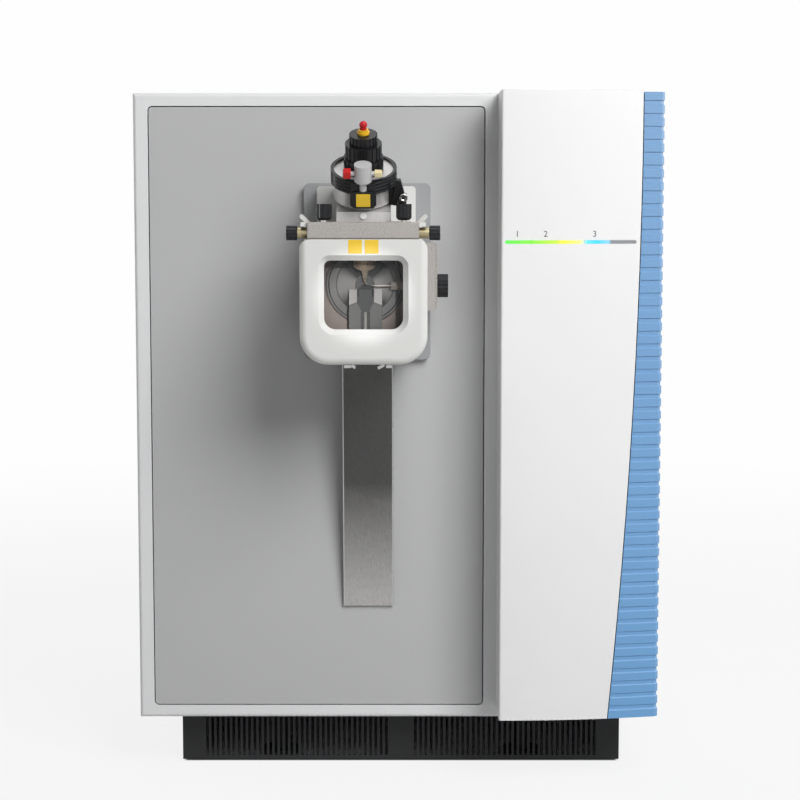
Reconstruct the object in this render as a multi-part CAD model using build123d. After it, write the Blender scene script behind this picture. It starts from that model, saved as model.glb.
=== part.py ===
from build123d import *
import math
import os

# Bench-top mass spectrometer with an atmospheric-pressure spray source on its front.
# Millimetres. +X right, +Y to the back, +Z up; the origin is under the middle of the box.
# "reach" is a distance in front of the bezel's face, which is the cabinet's front plane.

# ---- overall
WIDTH = 531.0
HEIGHT = 700.0
DEPTH = 760.0
SOURCE_REACH = 160.0
BEZEL_Y = SOURCE_REACH - DEPTH / 2
SEAT = 0.3  # gap between pieces that seat on each other across a joint or a seam
RUN = 0.06  # radial clearance of a shaft that turns in its hole
BITE = 1.0  # how far a cutting body runs past the face it cuts

# ---- cabinet shell
CABINET_FLOOR = 58.0
SHEET = 2.0
BEZEL_DEPTH = 22.0
BEZEL_WALL = 3.0
BEZEL_EDGE_R = 3.5
TOP_SKIRT = 24.7
TOP_EDGE_R = 4.0
PORT_STAND = 20.0
REAR_Y = DEPTH / 2 - PORT_STAND
FLANGE_FOLD = 14.0
TRAY_LIP = 20.0

# ---- silver front panel
PANEL_LEFT = 16.0 - WIDTH / 2
PANEL_RIGHT = WIDTH / 2 - 176.0
PANEL_LOW = 71.7
PANEL_HIGH = HEIGHT - 14.0
PANEL_CORNER_R = 4.0
PANEL_GAP = 1.1
PANEL_SET_BACK = 0.5
PANEL_FOLD = 12.0

# ---- plinth and feet
PLINTH_LEFT = 39.5 - WIDTH / 2
PLINTH_RIGHT = WIDTH / 2 - 29.0
PLINTH_LIFT = 2.0
PLINTH_SET_BACK = 40.0
PLINTH_REAR_GAP = 30.0
PLINTH_WALL = 3.0
SLOT_COUNT = 35
SLOT_PITCH = 5.58
SLOT_WIDTH = 3.0
SLOT_LOW = 6.2
SLOT_HIGH = 52.0
SLOT_CORNER = 1.0
SLOT_GROUP_SPACING = 220.5
FOOT_R = 20.0
FOOT_THICK = 6.0
FOOT_STEM_R = 9.0
FOOT_SPACING = 260.0
FOOT_INSET = 70.0

# ---- right-hand module: white service cover and blue ribbed trim
MODULE_REACH = 66.0
MODULE_LEFT = WIDTH / 2 - 162.0
MODULE_LOW = 71.5
MODULE_WALL = 3.0
MODULE_EDGE_R = 2.5
FACE_BOW_R = 750.0
SWEEP_R = 6430.0
SWEEP_X = WIDTH / 2 - 21.9
SWEEP_Z = HEIGHT - 4.0
SWEEP_CHORDS = 12
TRIM_GAP = 1.0
TRIM_DROP = 1.5
TRIM_WALL = 2.6
RIB_PITCH = 12.62
RIB_STAND = 1.0
RIB_FACE = 7.4
RIB_BEVEL = 1.2
FIRST_RIB_LOW = HEIGHT - 9.6
TRIM_CORNER = 3.0
MODULE_RIM = 14.0
LOCK_HOLE = (3.0, 5.0)
LOCK_HOLE_REACH = 6.0
LOCK_HOLE_Z = HEIGHT - 36.0

# ---- status light bar
LIGHT_LEFT = MODULE_LEFT + 4.0
LIGHT_RIGHT = WIDTH / 2 - 27.5
LIGHT_Z = HEIGHT - 148.5
LIGHT_HIGH = 3.4
LIGHT_DEPTH = 2.0
LIGHT_SEGMENTS = 5
LIGHT_GAP = 0.5
LIGHT_CLEAR = 0.1

# ---- source mount on the cabinet
AXIS_X = -30.9
AXIS_Z = 508.1
FLANGE_LEFT = -92.7
FLANGE_RIGHT = 35.1
FLANGE_LOW = 431.3
FLANGE_HIGH = 609.6
FLANGE_REACH = 8.0
FLANGE_CORNER_R = 6.0
INLET_BORE_R = 9.0
CHAMBER_MOUTH_R = 39.2
CONE_R = CHAMBER_MOUTH_R - 0.5
CONE_DISC = 9.0
CONE_STEP_R = 28.0
CONE_STEP = 1.5
CONE_RISE = 12.0
CONE_MOUTH_R = 8.5
CONE_MOUTH_DEPTH = 8.0
CONE_LINE_R = 36.6
CONE_LINE = 0.5
TUBE_R = 3.2
TUBE_BORE_R = 0.8
TUBE_REACH = 28.0
TUBE_LENGTH = 95.0

# ---- drain channel under the source
DRAIN_LEFT = -53.9
DRAIN_RIGHT = -2.6
DRAIN_LOW = 176.2
DRAIN_HIGH = 430.0
DRAIN_FOOT = 3.0
DRAIN_HEAD = 35.0
DRAIN_SHEET = 1.2

# ---- source housing (inner chamber) and its white cover
SOURCE_X = -30.0
CHAMBER_HALF = 47.0
CHAMBER_WALL = 5.0
CHAMBER_LOW = 460.0
CHAMBER_HIGH = 545.2
CHAMBER_BACK_WALL = 9.0
CHAMBER_MOUTH_BEVEL = 1.2
COVER_HALF = 60.3
COVER_LOW = 437.9
COVER_TOP = 555.9
COVER_WALL = 5.0
COVER_FACE_WALL = 6.0
COVER_BACK_REACH = 20.0
COVER_LOW_R = 27.0
COVER_TOP_R = 9.5
COVER_EDGE_R = 7.0
WINDOW_HALF = 37.2
WINDOW_LOW = 471.3
WINDOW_HIGH = 536.1
WINDOW_LOW_R = 11.0
WINDOW_TOP_R = 6.0
WINDOW_BEVEL = 5.1
WINDOW_OVERRUN = 0.2
GLASS_THICK = 3.0
GLASS_MARGIN = 6.0

# ---- crossbar, deck, thumbscrews and latches
BAR_LEFT = -83.7
BAR_RIGHT = 22.4
BAR_LOW = 556.3
BAR_HIGH = 571.7
BAR_REACH = 140.0
BAR_DEPTH = 26.0
DECK_HALF = 45.5
DECK_BACK_REACH = 45.3
BAR_EDGE = 0.8
REAR_BLOCK_LEFT = -78.4
REAR_BLOCK_RIGHT = 19.9
REAR_BLOCK_HIGH = 606.3
REAR_BLOCK_REACH = 45.0
REAR_BLOCK_STEP = 9.0
REAR_BLOCK_RAISED_HALF = 34.0
REAR_BLOCK_R = 3.5
PULL_R = 7.4
PULL_HIGH = 15.3
PULL_LIFT = 1.9
PULL_STUD_R = 3.0
PULL_STUD_LENGTH = 9.0
PULL_SPACING = 38.0
PULL_REACH = 124.0
PULL_FLUTES = 12
PULL_FLUTE_DEPTH = 0.7
PULL_BEVEL = 2.2
SIDE_STUD_R = 5.25
SIDE_STUD_LENGTH = 9.4
SIDE_STUD_Z = 561.5
SIDE_STUD_REACH = 127.0
SIDE_SPIGOT_R = 3.0
SIDE_SPIGOT_LENGTH = 8.0
SIDE_KNOB_R = 7.0
SIDE_KNOB_LONG = 10.4
SIDE_KNOB_WALL = 2.0
EAR_THICK = 2.4
EAR_LIP = 6.0
EAR_LIP_HIGH = 4.0
EAR_DEPTH = 18.0
EAR_CLEAR = 0.15
LATCH_PIVOT_OUT = 3.7
LATCH_PIVOT_Z = 567.0
LATCH_LENGTH = 14.0
LATCH_HALF = 2.1
LATCH_THICK = 3.0
LATCH_ANGLE = 45.0
LATCH_PIN_R = 1.5

# ---- needle, its knob and side plate
NEEDLE_REACH = 50.0
NEEDLE_Z = 508.1
NEEDLE_TIP_X = -24.7
NEEDLE_R = 1.0
NEEDLE_POINT = 6.0
HEX_LEFT = -4.8
HEX_FLATS = 7.9
HEX_LENGTH = 19.0
NEEDLE_SHAFT_R = 3.0
PLATE_LOW = 485.0
PLATE_HIGH = 551.0
PLATE_BACK_REACH = 24.0
PLATE_REACH = 80.0
PLATE_OUT = 10.5
PLATE_CHAMFER = 2.5
PLATE_CLEAR = 0.5
NEEDLE_KNOB_R = 11.5
NEEDLE_KNOB_LONG = 10.8
NEEDLE_KNOB_WALL = 3.0
NEEDLE_KNOB_FLUTES = 18

# ---- drain block in the chamber
BLOCK_LEFT = -46.2
BLOCK_RIGHT = -13.6
BLOCK_TOP = 504.4
BLOCK_BACK_REACH = 38.0
BLOCK_REACH = 60.0
FACET_WIDTH = 10.0
FACET_OUTER = 17.0
FACET_INNER = 12.5
FACET_RUN = 14.0
POCKET_HALF = 8.3
POCKET_FOOT_R = 5.4
POCKET_DEEP = 6.0
POCKET_FOOT_Z = 482.0
POCKET_SHOULDER_Z = 491.0
INSERT_R = 7.9
INSERT_Z = 500.7
GROOVE_HALF = 4.6
DRAIN_TUBE_R = 1.6

# ---- spray probe, tilted forward about its tip
TILT = 27.0
TIP_REACH = 45.0
TIP_Z = 510.5
PROBE_X = -30.6
NOZZLE_TIP_R = 0.8
NOZZLE_CONE_R = 5.0
NOZZLE_CONE_LONG = 20.0
NOZZLE_STEP_R = 11.0
PORT_BORE_CLEAR = 0.3
COLLAR_R = 28.8
COLLAR_LOW = 94.0
COLLAR_HIGH = 124.9
COLLAR_BEVEL = 3.0
PORT_HALF = 26.0
PORT_BACK_REACH = 60.0
PIN_R = 3.0
PIN_LONG = 3.0
PIN_Z = 577.5
RING_R = 31.9
RING_LOW = 113.5
RING_HIGH = 127.4
RING_GROOVES = 4
RING_GROOVE_DEEP = 0.9
LOW_RING_R = 19.1
LOW_RING_LONG = 13.9
MID_KNOB_R = 17.6
MID_KNOB_LONG = 13.7
TOP_KNOB_R = 13.5
TOP_KNOB_LONG = 9.3
KNOB_FLUTES = 20
KNOB_FLUTE_DEEP = 0.8
FLUTE_LAND = 0.6
STEM_R = 6.0
NECK_R = 6.0
NECK_LONG = 2.2
NECK_TOP_R = 5.0
NECK_TOP_LONG = 2.2
SPIGOT_R = 1.5
SPIGOT_LONG = 4.5
CAP_R = 3.9
CAP_SKIRT_R = 3.2
CAP_LONG = 4.4

# ---- gas union, its fittings, bracket and clamp on the probe port
UNION_OUT = 36.6
UNION_R = 8.3
UNION_LOW = 129.6
UNION_LONG = 18.5
UNION_BEVEL = 1.6
UNION_STEM_R = 3.9
FITTING_S = 138.6
RED_HEX = 9.6
RED_LONG = 7.4
CREAM_HEX = 7.0
CREAM_LONG = 7.0
FITTING_NECK_R = 2.4
FITTING_TURN = 30.0
FITTING_BEVEL = 1.0
RED_NECK_LONG = 3.2
CREAM_NECK_LONG = 2.8
BRACKET_HALF = 12.4
BRACKET_LOW = 103.9
BRACKET_HIGH = 121.2
BRACKET_CORNER = 3.4
BRACKET_FACE = 41.0
BRACKET_WALL_IN = 4.4
BRACKET_WALL_OUT = 11.6
BRACKET_WALL_HIGH = UNION_LOW - SEAT
BRACKET_WALL_FRONT = 39.0
RING_CLEAR = 0.6
LUG_NEAR = 22.0
LUG_FAR = 31.2
LUG_BACK = 7.7
LUG_SPLIT = 12.0
LUG_FRONT = 16.0
LUG_LOW = 95.0
LUG_HIGH = 112.5
LEVER_X = 36.6
LEVER_S = 101.6
LEVER_ROOT_R = 4.4
LEVER_NEAR = 8.4
LEVER_TIP_NEAR = 4.8
LEVER_TIP_FAR = 1.0
LEVER_LONG = 22.0
LEVER_THICK = 5.0
LEVER_SCREW_R = 2.0
LEVER_HEAD_R = 4.5
LEVER_HEAD_HIGH = 2.6

# ---- rear fittings
FAN_SIZE = 119.0
FAN_DEEP = 25.0
FAN_DUCT_R = 56.0
FAN_HUB_R = 20.0
FAN_AXLE_R = 2.0
FAN_BLADES = 7
FAN_BLADE_GAP = 1.5
FAN_X = (-150.0, -10.0)
FAN_Z = HEIGHT - 140.0
GRILLE_R = 54.0
GRILLE_SLOTS = 9
GRILLE_PITCH = 11.5
GRILLE_SLOT = 7.0
HOSE_PORT_R = 14.0
HOSE_PORT_BORE_R = 11.5
HOSE_FLANGE_R = 24.0
HOSE_FLANGE_THICK = 5.0
HOSE_X = (-175.0, -95.0)
HOSE_Z = 150.0
GAS_TUBE_R = 3.175
GAS_BORE_R = 2.0
GAS_NUT = 14.0
GAS_NUT_THICK = 6.0
GAS_TUBE_LONG = 17.0
GAS_PORTS = 3
GAS_X = 20.0
GAS_SPACING = 32.0
GAS_Z = 150.0
INLET_X = 175.0
MODULE_STAND = 3.0
INLET_Z = 150.0
INLET_WIDE = 50.0
INLET_HIGH = 34.0
INLET_CAVITY = (30.0, 20.0, 15.0)
INLET_BODY = (36.0, 26.0, 22.0)
INLET_PIN = (2.0, 5.0, 9.0)
INLET_PIN_SPACING = 8.0
SWITCH_Z = 205.0
SWITCH_WIDE = 20.0
SWITCH_HIGH = 28.0
SWITCH_FRAME = 3.0
SWITCH_BODY_DEEP = 24.0
SWITCH_CLEAR = 0.4
ROCKER_R = 18.0
ROCKER_FACE = 8.0
ROCKER_TILT = 10.0
ROCKER_AXLE_R = 1.5
ROCKER_AXLE_IN = 8.0

# ---- pieces inside the cabinet
POST = 30.0
POST_INSET = 32.0
SHELF_Z = AXIS_Z - 68.1
SHELF_RAIL = 16.0
SHELF_RAIL_WIDE = 15.0
MANIFOLD_LEFT = -125.0
MANIFOLD_RIGHT = 63.0
MANIFOLD_HIGH = SHELF_Z + 140.0
MANIFOLD_BACK_Y = 200.0
MANIFOLD_WALL = 12.0
MANIFOLD_FRONT_GAP = 3.0
LID_THICK = 12.0
PUMP_R = 62.0
PUMP_BORE_R = 50.0
PUMP_FLANGE_R = 76.0
PUMP_FLANGE_THICK = 12.0
PUMP_LONG = 170.0
PUMP_FOOT_R = 45.0
PUMP_FOOT_LONG = 60.0
PUMP_Y = 40.0
ROD_R = 6.0
ROD_CIRCLE_R = 11.5
ROD_LONG = 170.0
ROD_START_Y = -110.0
HOLDER_OUT_R = 26.0
HOLDER_THICK = 12.0
HOLDER_INSET = 20.0
HOLDER_STRUT_HALF = 10.0
CELL_R = 34.0
CELL_LONG = 74.0
CELL_BORE_R = 20.0
CELL_GAP = 14.0
SPINDLE_R = 9.0
SPINDLE_END_R = 4.0
SPINDLE_INSET = 12.0
SUPPLY_SIZE = (150.0, 260.0, 120.0)
SUPPLY_EDGE = 25.5
SUPPLY_Y = 130.0
CARD_COUNT = 5
CARD_PITCH = 26.0
CARD_THICK = 1.6
CARD_EDGE = 155.5
CARD_DEEP = 300.0
CARD_HIGH = 260.0
CARD_Y = 60.0
CHIP = (8.0, 40.0, 40.0)

# ---- derived places
HALF = WIDTH / 2
COVER_FACE_INNER = SOURCE_REACH - COVER_FACE_WALL
GLASS_FRONT = COVER_FACE_INNER - SEAT
GLASS_BACK = GLASS_FRONT - GLASS_THICK
CHAMBER_FRONT = GLASS_BACK - SEAT
CHAMBER_BACK = FLANGE_REACH + SEAT
BAR_BACK_REACH = BAR_REACH - BAR_DEPTH
TRAY_FRONT_Y = BEZEL_Y + BEZEL_DEPTH + SEAT
TRAY_TOP = CABINET_FLOOR + SHEET
TOP_SKIRT_Z = HEIGHT - TOP_SKIRT
TILT_SIN = math.sin(math.radians(TILT))
TILT_COS = math.cos(math.radians(TILT))


def y_of(reach):
    """The y of a point that stands this far in front of the bezel's face."""
    return BEZEL_Y - reach


PROBE = Plane(
    origin=(PROBE_X, y_of(TIP_REACH), TIP_Z),
    x_dir=(1, 0, 0),
    z_dir=(0, -TILT_SIN, TILT_COS),
)


# ---------------------------------------------------------------- small helpers
def span(x0, x1, y0, y1, z0, z1):
    """A box between two corners."""
    middle = Pos((x0 + x1) / 2, (y0 + y1) / 2, (z0 + z1) / 2)
    return middle * Box(x1 - x0, y1 - y0, z1 - z0)


def slab(x0, x1, reach0, reach1, z0, z1):
    """A box whose depth is given as reaches from the bezel's face."""
    return span(x0, x1, y_of(reach1), y_of(reach0), z0, z1)


def along_x(x0, x1, y, z, r):
    """A round bar along X."""
    return Pos((x0 + x1) / 2, y, z) * Rot(0, 90, 0) * Cylinder(r, x1 - x0)


def along_y(y0, y1, x, z, r):
    """A round bar along Y."""
    return Pos(x, (y0 + y1) / 2, z) * Rot(90, 0, 0) * Cylinder(r, y1 - y0)


def along_z(z0, z1, x, y, r):
    """A round bar along Z."""
    return Pos(x, y, (z0 + z1) / 2) * Cylinder(r, z1 - z0)


def facing(reach):
    """A plane that looks out of the front, this far before the bezel's face."""
    return Plane.XZ.offset(reach - BEZEL_Y)


def turned(profile):
    """A solid turned about Z from (radius, height) points."""
    return revolve(Plane.XZ * Polygon(*profile, align=None), Axis.Z)


def turned_front(profile, x, z):
    """A solid turned about a front-facing axis from (radius, reach) points."""
    return Pos(x, BEZEL_Y, z) * Rot(90, 0, 0) * turned(profile)


def fluted_outline(radius, depth, flutes, land=0.0):
    """A round outline with straight flutes; land is each flute's flat share."""
    points = []
    pitch = 2 * math.pi / flutes
    slope = pitch * (1 - land) / 4
    for i in range(flutes):
        crest = i * pitch
        stops = [(crest, radius), (crest + pitch / 2, radius - depth)]
        if land:
            edge = pitch * land / 2
            root = pitch / 2 - slope
            stops = [(crest - edge, radius), (crest + edge, radius)]
            stops.append((crest + edge + slope / 2, radius - depth))
            stops.append((crest + pitch - edge - slope / 2, radius - depth))
        for angle, r in stops:
            points.append((r * math.cos(angle), r * math.sin(angle)))
    return Polygon(*points, align=None)


def fluted_knob(radius, depth, flutes, length, bevel):
    """A fluted hand knob from z = 0 up, bevelled at its lower end."""
    wide = fluted_outline(radius, depth, flutes)
    narrow = scale(wide, by=1 - bevel / radius)
    foot = loft([narrow, Pos(0, 0, bevel) * wide], ruled=True)
    return foot + extrude(Pos(0, 0, bevel) * wide, length - bevel)


def rounded(width, height, low_r, top_r):
    """A rectangle with its own corner radii below and above."""
    face = Rectangle(width, height)
    face = fillet(face.vertices().group_by(Axis.Y)[0], low_r)
    return fillet(face.vertices().group_by(Axis.Y)[-1], top_r)


def plate_outline(x0, x1, z0, z1, r):
    """A rounded plate outline with its corners in cabinet coordinates."""
    return Pos((x0 + x1) / 2, (z0 + z1) / 2) * RectangleRounded(x1 - x0, z1 - z0, r)


# ---------------------------------------------------------------- cabinet
def plinth():
    """Black base skirt with two groups of air slots in its front wall."""
    front_y = BEZEL_Y + PLINTH_SET_BACK
    back_y = REAR_Y - PLINTH_REAR_GAP
    skirt = span(PLINTH_LEFT, PLINTH_RIGHT, front_y, back_y, PLINTH_LIFT, CABINET_FLOOR)
    skirt -= span(
        PLINTH_LEFT + PLINTH_WALL,
        PLINTH_RIGHT - PLINTH_WALL,
        front_y + PLINTH_WALL,
        back_y - PLINTH_WALL,
        PLINTH_LIFT - BITE,
        CABINET_FLOOR + BITE,
    )
    half = SLOT_WIDTH / 2
    corner = half - SLOT_CORNER
    outline = Polygon(
        (-half, SLOT_HIGH),
        (-half, SLOT_LOW + SLOT_CORNER),
        (-corner, SLOT_LOW),
        (corner, SLOT_LOW),
        (half, SLOT_LOW + SLOT_CORNER),
        (half, SLOT_HIGH),
        align=None,
    )
    slots = Sketch()
    middle = (PLINTH_LEFT + PLINTH_RIGHT) / 2
    for sign in (-1, 1):
        for i in range(SLOT_COUNT):
            out = (i - (SLOT_COUNT - 1) / 2) * SLOT_PITCH
            slots += Pos(middle + sign * SLOT_GROUP_SPACING / 2 + out, 0) * outline
    cutter = extrude(facing(-PLINTH_SET_BACK - PLINTH_WALL - BITE) * slots, PLINTH_WALL + 2 * BITE)
    return skirt - cutter


def levelling_feet():
    """Four pads on stems under the base tray."""
    feet = []
    middle = (PLINTH_LEFT + PLINTH_RIGHT) / 2
    for x in (middle - FOOT_SPACING / 2, middle + FOOT_SPACING / 2):
        for y in (BEZEL_Y + PLINTH_SET_BACK + FOOT_INSET / 2, REAR_Y - PLINTH_REAR_GAP - FOOT_INSET):
            stem = along_z(0, CABINET_FLOOR, x, y, FOOT_STEM_R)
            feet.append(stem + along_z(0, FOOT_THICK, x, y, FOOT_R))
    return Compound(children=feet)


def base_tray():
    """Folded floor pan with upright lips."""
    half = HALF - SHEET - SEAT
    back_y = REAR_Y - 2 * SHEET - SEAT
    front_y = TRAY_FRONT_Y + SHEET
    pan = span(-half, half, front_y, back_y, CABINET_FLOOR, TRAY_TOP + TRAY_LIP)
    hollow = span(
        -half + SHEET, half - SHEET, front_y + SHEET, back_y - SHEET, TRAY_TOP, HEIGHT
    )
    return pan - hollow


def post_places():
    """Centres of the four upright posts."""
    x = HALF - POST_INSET
    front_y = TRAY_FRONT_Y + POST_INSET
    back_y = REAR_Y - POST_INSET - FAN_DEEP
    return [(sx, y) for sx in (-x, x) for y in (front_y, back_y)]


def chassis_frame():
    """Welded frame: four posts, top rails and the shelf rails of the vacuum chamber."""
    places = post_places()
    top = HEIGHT - TOP_EDGE_R
    half = POST / 2
    frame = Part()
    for x, y in places:
        frame += span(x - half, x + half, y - half, y + half, TRAY_TOP, top)
    left, right = places[0][0], places[-1][0]
    front_y, back_y = places[0][1], places[1][1]
    for x in (left, right):
        frame += span(x - half, x + half, front_y, back_y, top - POST, top)
    for y in (front_y, back_y):
        frame += span(left, right, y - half, y + half, top - POST, top)
        low = SHELF_Z - SHELF_RAIL
        frame += span(left, right, y - half, y + half, low, SHELF_Z)
    for x in (MANIFOLD_LEFT, MANIFOLD_RIGHT - SHELF_RAIL_WIDE):
        frame += span(x, x + SHELF_RAIL_WIDE, front_y, back_y, SHELF_Z - SHELF_RAIL, SHELF_Z)
    return frame


def side_panel(sign):
    """A flat side sheet with a fold at its front and rear edges."""
    outer = sign * HALF
    inner = sign * (HALF - SHEET)
    fold = sign * (HALF - FLANGE_FOLD)
    back_y = REAR_Y - SHEET - SEAT
    high = TOP_SKIRT_Z - SEAT
    sheet = span(*sorted((outer, inner)), TRAY_FRONT_Y, back_y, CABINET_FLOOR, high)
    folds = sorted((outer, fold))
    sheet += span(*folds, TRAY_FRONT_Y, TRAY_FRONT_Y + SHEET, CABINET_FLOOR, high)
    return sheet + span(*folds, back_y - SHEET, back_y, CABINET_FLOOR, high)


def top_cover():
    """Painted lid with skirts down its sides and back."""
    lid = span(-HALF, HALF, TRAY_FRONT_Y, REAR_Y, TOP_SKIRT_Z, HEIGHT)
    lid = fillet(lid.edges().filter_by(Axis.Y).group_by(Axis.Z)[-1], TOP_EDGE_R)
    return lid - span(
        -HALF + SHEET,
        HALF - SHEET,
        TRAY_FRONT_Y - BITE,
        REAR_Y - SHEET,
        TOP_SKIRT_Z - BITE,
        HEIGHT - TOP_EDGE_R,
    )


def front_bezel():
    """White moulded frame: one opening for the silver panel, one behind the module."""
    body = span(-HALF, HALF, BEZEL_Y, BEZEL_Y + BEZEL_DEPTH, CABINET_FLOOR, HEIGHT)
    front = body.faces().sort_by(Axis.Y)[0]
    body = fillet(front.edges(), BEZEL_EDGE_R)
    panel_hole = plate_outline(
        PANEL_LEFT - PANEL_GAP,
        PANEL_RIGHT + PANEL_GAP,
        PANEL_LOW - PANEL_GAP,
        PANEL_HIGH + PANEL_GAP,
        PANEL_CORNER_R + PANEL_GAP,
    )
    module_hole = plate_outline(
        MODULE_LEFT + MODULE_RIM,
        HALF - MODULE_RIM,
        MODULE_LOW + MODULE_RIM,
        HEIGHT - MODULE_RIM,
        PANEL_CORNER_R,
    )
    through = BEZEL_DEPTH + 2 * BITE
    for hole in (panel_hole, module_hole):
        body -= extrude(facing(-BEZEL_DEPTH - BITE) * hole, through)
    return body - bezel_channel()


def bezel_channel():
    """The hollow moulded into the back of the bezel, between its outer and inner walls."""
    wall = BEZEL_WALL
    deep = BEZEL_DEPTH - wall
    plane = facing(-BEZEL_DEPTH - BITE)
    outer = plate_outline(-HALF + wall, HALF - wall, CABINET_FLOOR + wall, HEIGHT - wall, wall)
    kept = plate_outline(
        PANEL_LEFT - PANEL_GAP - wall,
        PANEL_RIGHT + PANEL_GAP + wall,
        PANEL_LOW - PANEL_GAP - wall,
        PANEL_HIGH + PANEL_GAP + wall,
        PANEL_CORNER_R + wall,
    )
    kept += plate_outline(
        MODULE_LEFT + MODULE_RIM - wall,
        HALF - MODULE_RIM + wall,
        MODULE_LOW + MODULE_RIM - wall,
        HEIGHT - MODULE_RIM + wall,
        PANEL_CORNER_R + wall,
    )
    return extrude(plane * (outer - kept), deep + BITE)


def front_panel():
    """Silver sheet with folded edges and a round hole for the inlet."""
    outline = plate_outline(PANEL_LEFT, PANEL_RIGHT, PANEL_LOW, PANEL_HIGH, PANEL_CORNER_R)
    inner = plate_outline(
        PANEL_LEFT + SHEET,
        PANEL_RIGHT - SHEET,
        PANEL_LOW + SHEET,
        PANEL_HIGH - SHEET,
        PANEL_CORNER_R - SHEET,
    )
    pan = extrude(facing(-PANEL_SET_BACK - PANEL_FOLD) * outline, PANEL_FOLD)
    pan -= extrude(facing(-PANEL_SET_BACK - PANEL_FOLD - BITE) * inner, PANEL_FOLD - SHEET + BITE)
    face_y = BEZEL_Y + PANEL_SET_BACK
    return pan - along_y(face_y - BITE, face_y + PANEL_FOLD, AXIS_X, AXIS_Z, INLET_BORE_R)


# ---------------------------------------------------------------- right-hand module
def module_plan(inset, back=0.0):
    """Plan outline of the module: straight sides and a bowed front."""
    front_y = y_of(MODULE_REACH)
    left, right = MODULE_LEFT + inset, HALF - inset
    low, high = front_y + inset, BEZEL_Y + back
    block = Pos((left + right) / 2, (low + high) / 2) * Rectangle(right - left, high - low)
    bow = Pos(MODULE_LEFT, front_y + FACE_BOW_R) * Circle(FACE_BOW_R - inset)
    return block & bow


def sweep_cylinder():
    """The long arc that parts the white cover from the blue trim."""
    middle_x = SWEEP_X - SWEEP_R
    return along_y(y_of(2 * MODULE_REACH), BEZEL_Y + MODULE_REACH, middle_x, SWEEP_Z, SWEEP_R)


def right_of_sweep(gap):
    """Everything right of the long arc, which is taken in short chords."""
    low, high = MODULE_LOW - BITE, HEIGHT + BITE
    radius = SWEEP_R + gap
    points = [(HALF + BITE, high), (HALF + BITE, low)]
    for i in range(SWEEP_CHORDS + 1):
        z = low + (high - low) * i / SWEEP_CHORDS
        points.append((SWEEP_X - SWEEP_R + math.sqrt(radius**2 - (z - SWEEP_Z) ** 2), z))
    outline = Polygon(*points, align=None)
    return extrude(facing(-BITE) * outline, MODULE_REACH + 2 * BITE, dir=(0, -1, 0))


def service_cover():
    """White shell with a bowed face; its right edge follows the long arc."""
    plan = module_plan(0)
    plan = fillet(plan.vertices().sort_by(Axis.Y)[0], MODULE_EDGE_R)
    shell = extrude(Pos(0, 0, MODULE_LOW) * plan, HEIGHT - MODULE_LOW)
    hollow = Pos(0, 0, MODULE_LOW + MODULE_WALL) * module_plan(MODULE_WALL, BITE)
    shell -= extrude(hollow, HEIGHT - MODULE_LOW - 2 * MODULE_WALL)
    shell &= sweep_cylinder()
    wide, high = LOCK_HOLE
    key = Pos(-LOCK_HOLE_REACH + BEZEL_Y, LOCK_HOLE_Z) * Ellipse(wide / 2, high / 2)
    shell -= extrude(Plane.YZ.offset(MODULE_LEFT - BITE) * key, MODULE_WALL + 2 * BITE)
    return shell - light_recess(LIGHT_CLEAR)


def rib_groove(z_high, z_low):
    """One groove round the trim, from under a rib to the bevel on the rib below."""
    ring = trim_plan(-BITE) - trim_plan(RIB_STAND)
    z_bevel = z_low + RIB_BEVEL
    groove = extrude(Pos(0, 0, z_bevel) * ring, z_high - z_bevel)
    wedge = extrude(Pos(0, 0, z_low) * trim_plan(-BITE), RIB_BEVEL)
    taper = loft([Pos(0, 0, z_low) * trim_plan(0), Pos(0, 0, z_bevel) * trim_plan(RIB_STAND)], ruled=True)
    return groove + (wedge - taper)


def trim_plan(inset):
    """Plan outline of the trim, with its front corner cut off."""
    plan = module_plan(inset)
    corner = plan.vertices().filter_by_position(Axis.X, HALF - inset - BITE, HALF - inset + BITE)
    return chamfer(corner.sort_by(Axis.Y)[0], TRIM_CORNER)


def ribbed_trim():
    """Blue moulding with a stack of level ribs that wraps round the side."""
    top = HEIGHT - TRIM_DROP
    low = MODULE_LOW
    shell = extrude(Pos(0, 0, low) * trim_plan(0), top - low)
    inner = Pos(0, 0, low + TRIM_WALL) * module_plan(TRIM_WALL + RIB_STAND, BITE)
    shell -= extrude(inner, top - low - 2 * TRIM_WALL)
    shell &= right_of_sweep(TRIM_GAP)
    rib_top = FIRST_RIB_LOW - RIB_PITCH + RIB_FACE
    groove = rib_groove(FIRST_RIB_LOW, rib_top)
    count = int((FIRST_RIB_LOW - low) / RIB_PITCH)
    return shell - [Pos(0, 0, -RIB_PITCH * i) * groove for i in range(count)]


def light_recess(grow):
    """The slot that the light bar fills, cut from the bowed face."""
    length = LIGHT_RIGHT - LIGHT_LEFT + 2 * grow
    outline = Pos((LIGHT_LEFT + LIGHT_RIGHT) / 2, LIGHT_Z) * SlotOverall(length, LIGHT_HIGH + 2 * grow)
    prism = extrude(facing(0) * outline, MODULE_REACH + BITE)
    skin = extrude(module_plan(-grow) - module_plan(LIGHT_DEPTH + grow), HEIGHT)
    return prism & skin


def status_light_bar():
    """Five light-pipe segments in a row, flush with the face."""
    bar = light_recess(0)
    pitch = (LIGHT_RIGHT - LIGHT_LEFT) / LIGHT_SEGMENTS
    for i in range(1, LIGHT_SEGMENTS):
        x = LIGHT_LEFT + i * pitch
        half = LIGHT_GAP / 2
        bar -= slab(x - half, x + half, 0, MODULE_REACH + BITE, LIGHT_Z - LIGHT_HIGH, LIGHT_Z + LIGHT_HIGH)
    return bar


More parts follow.
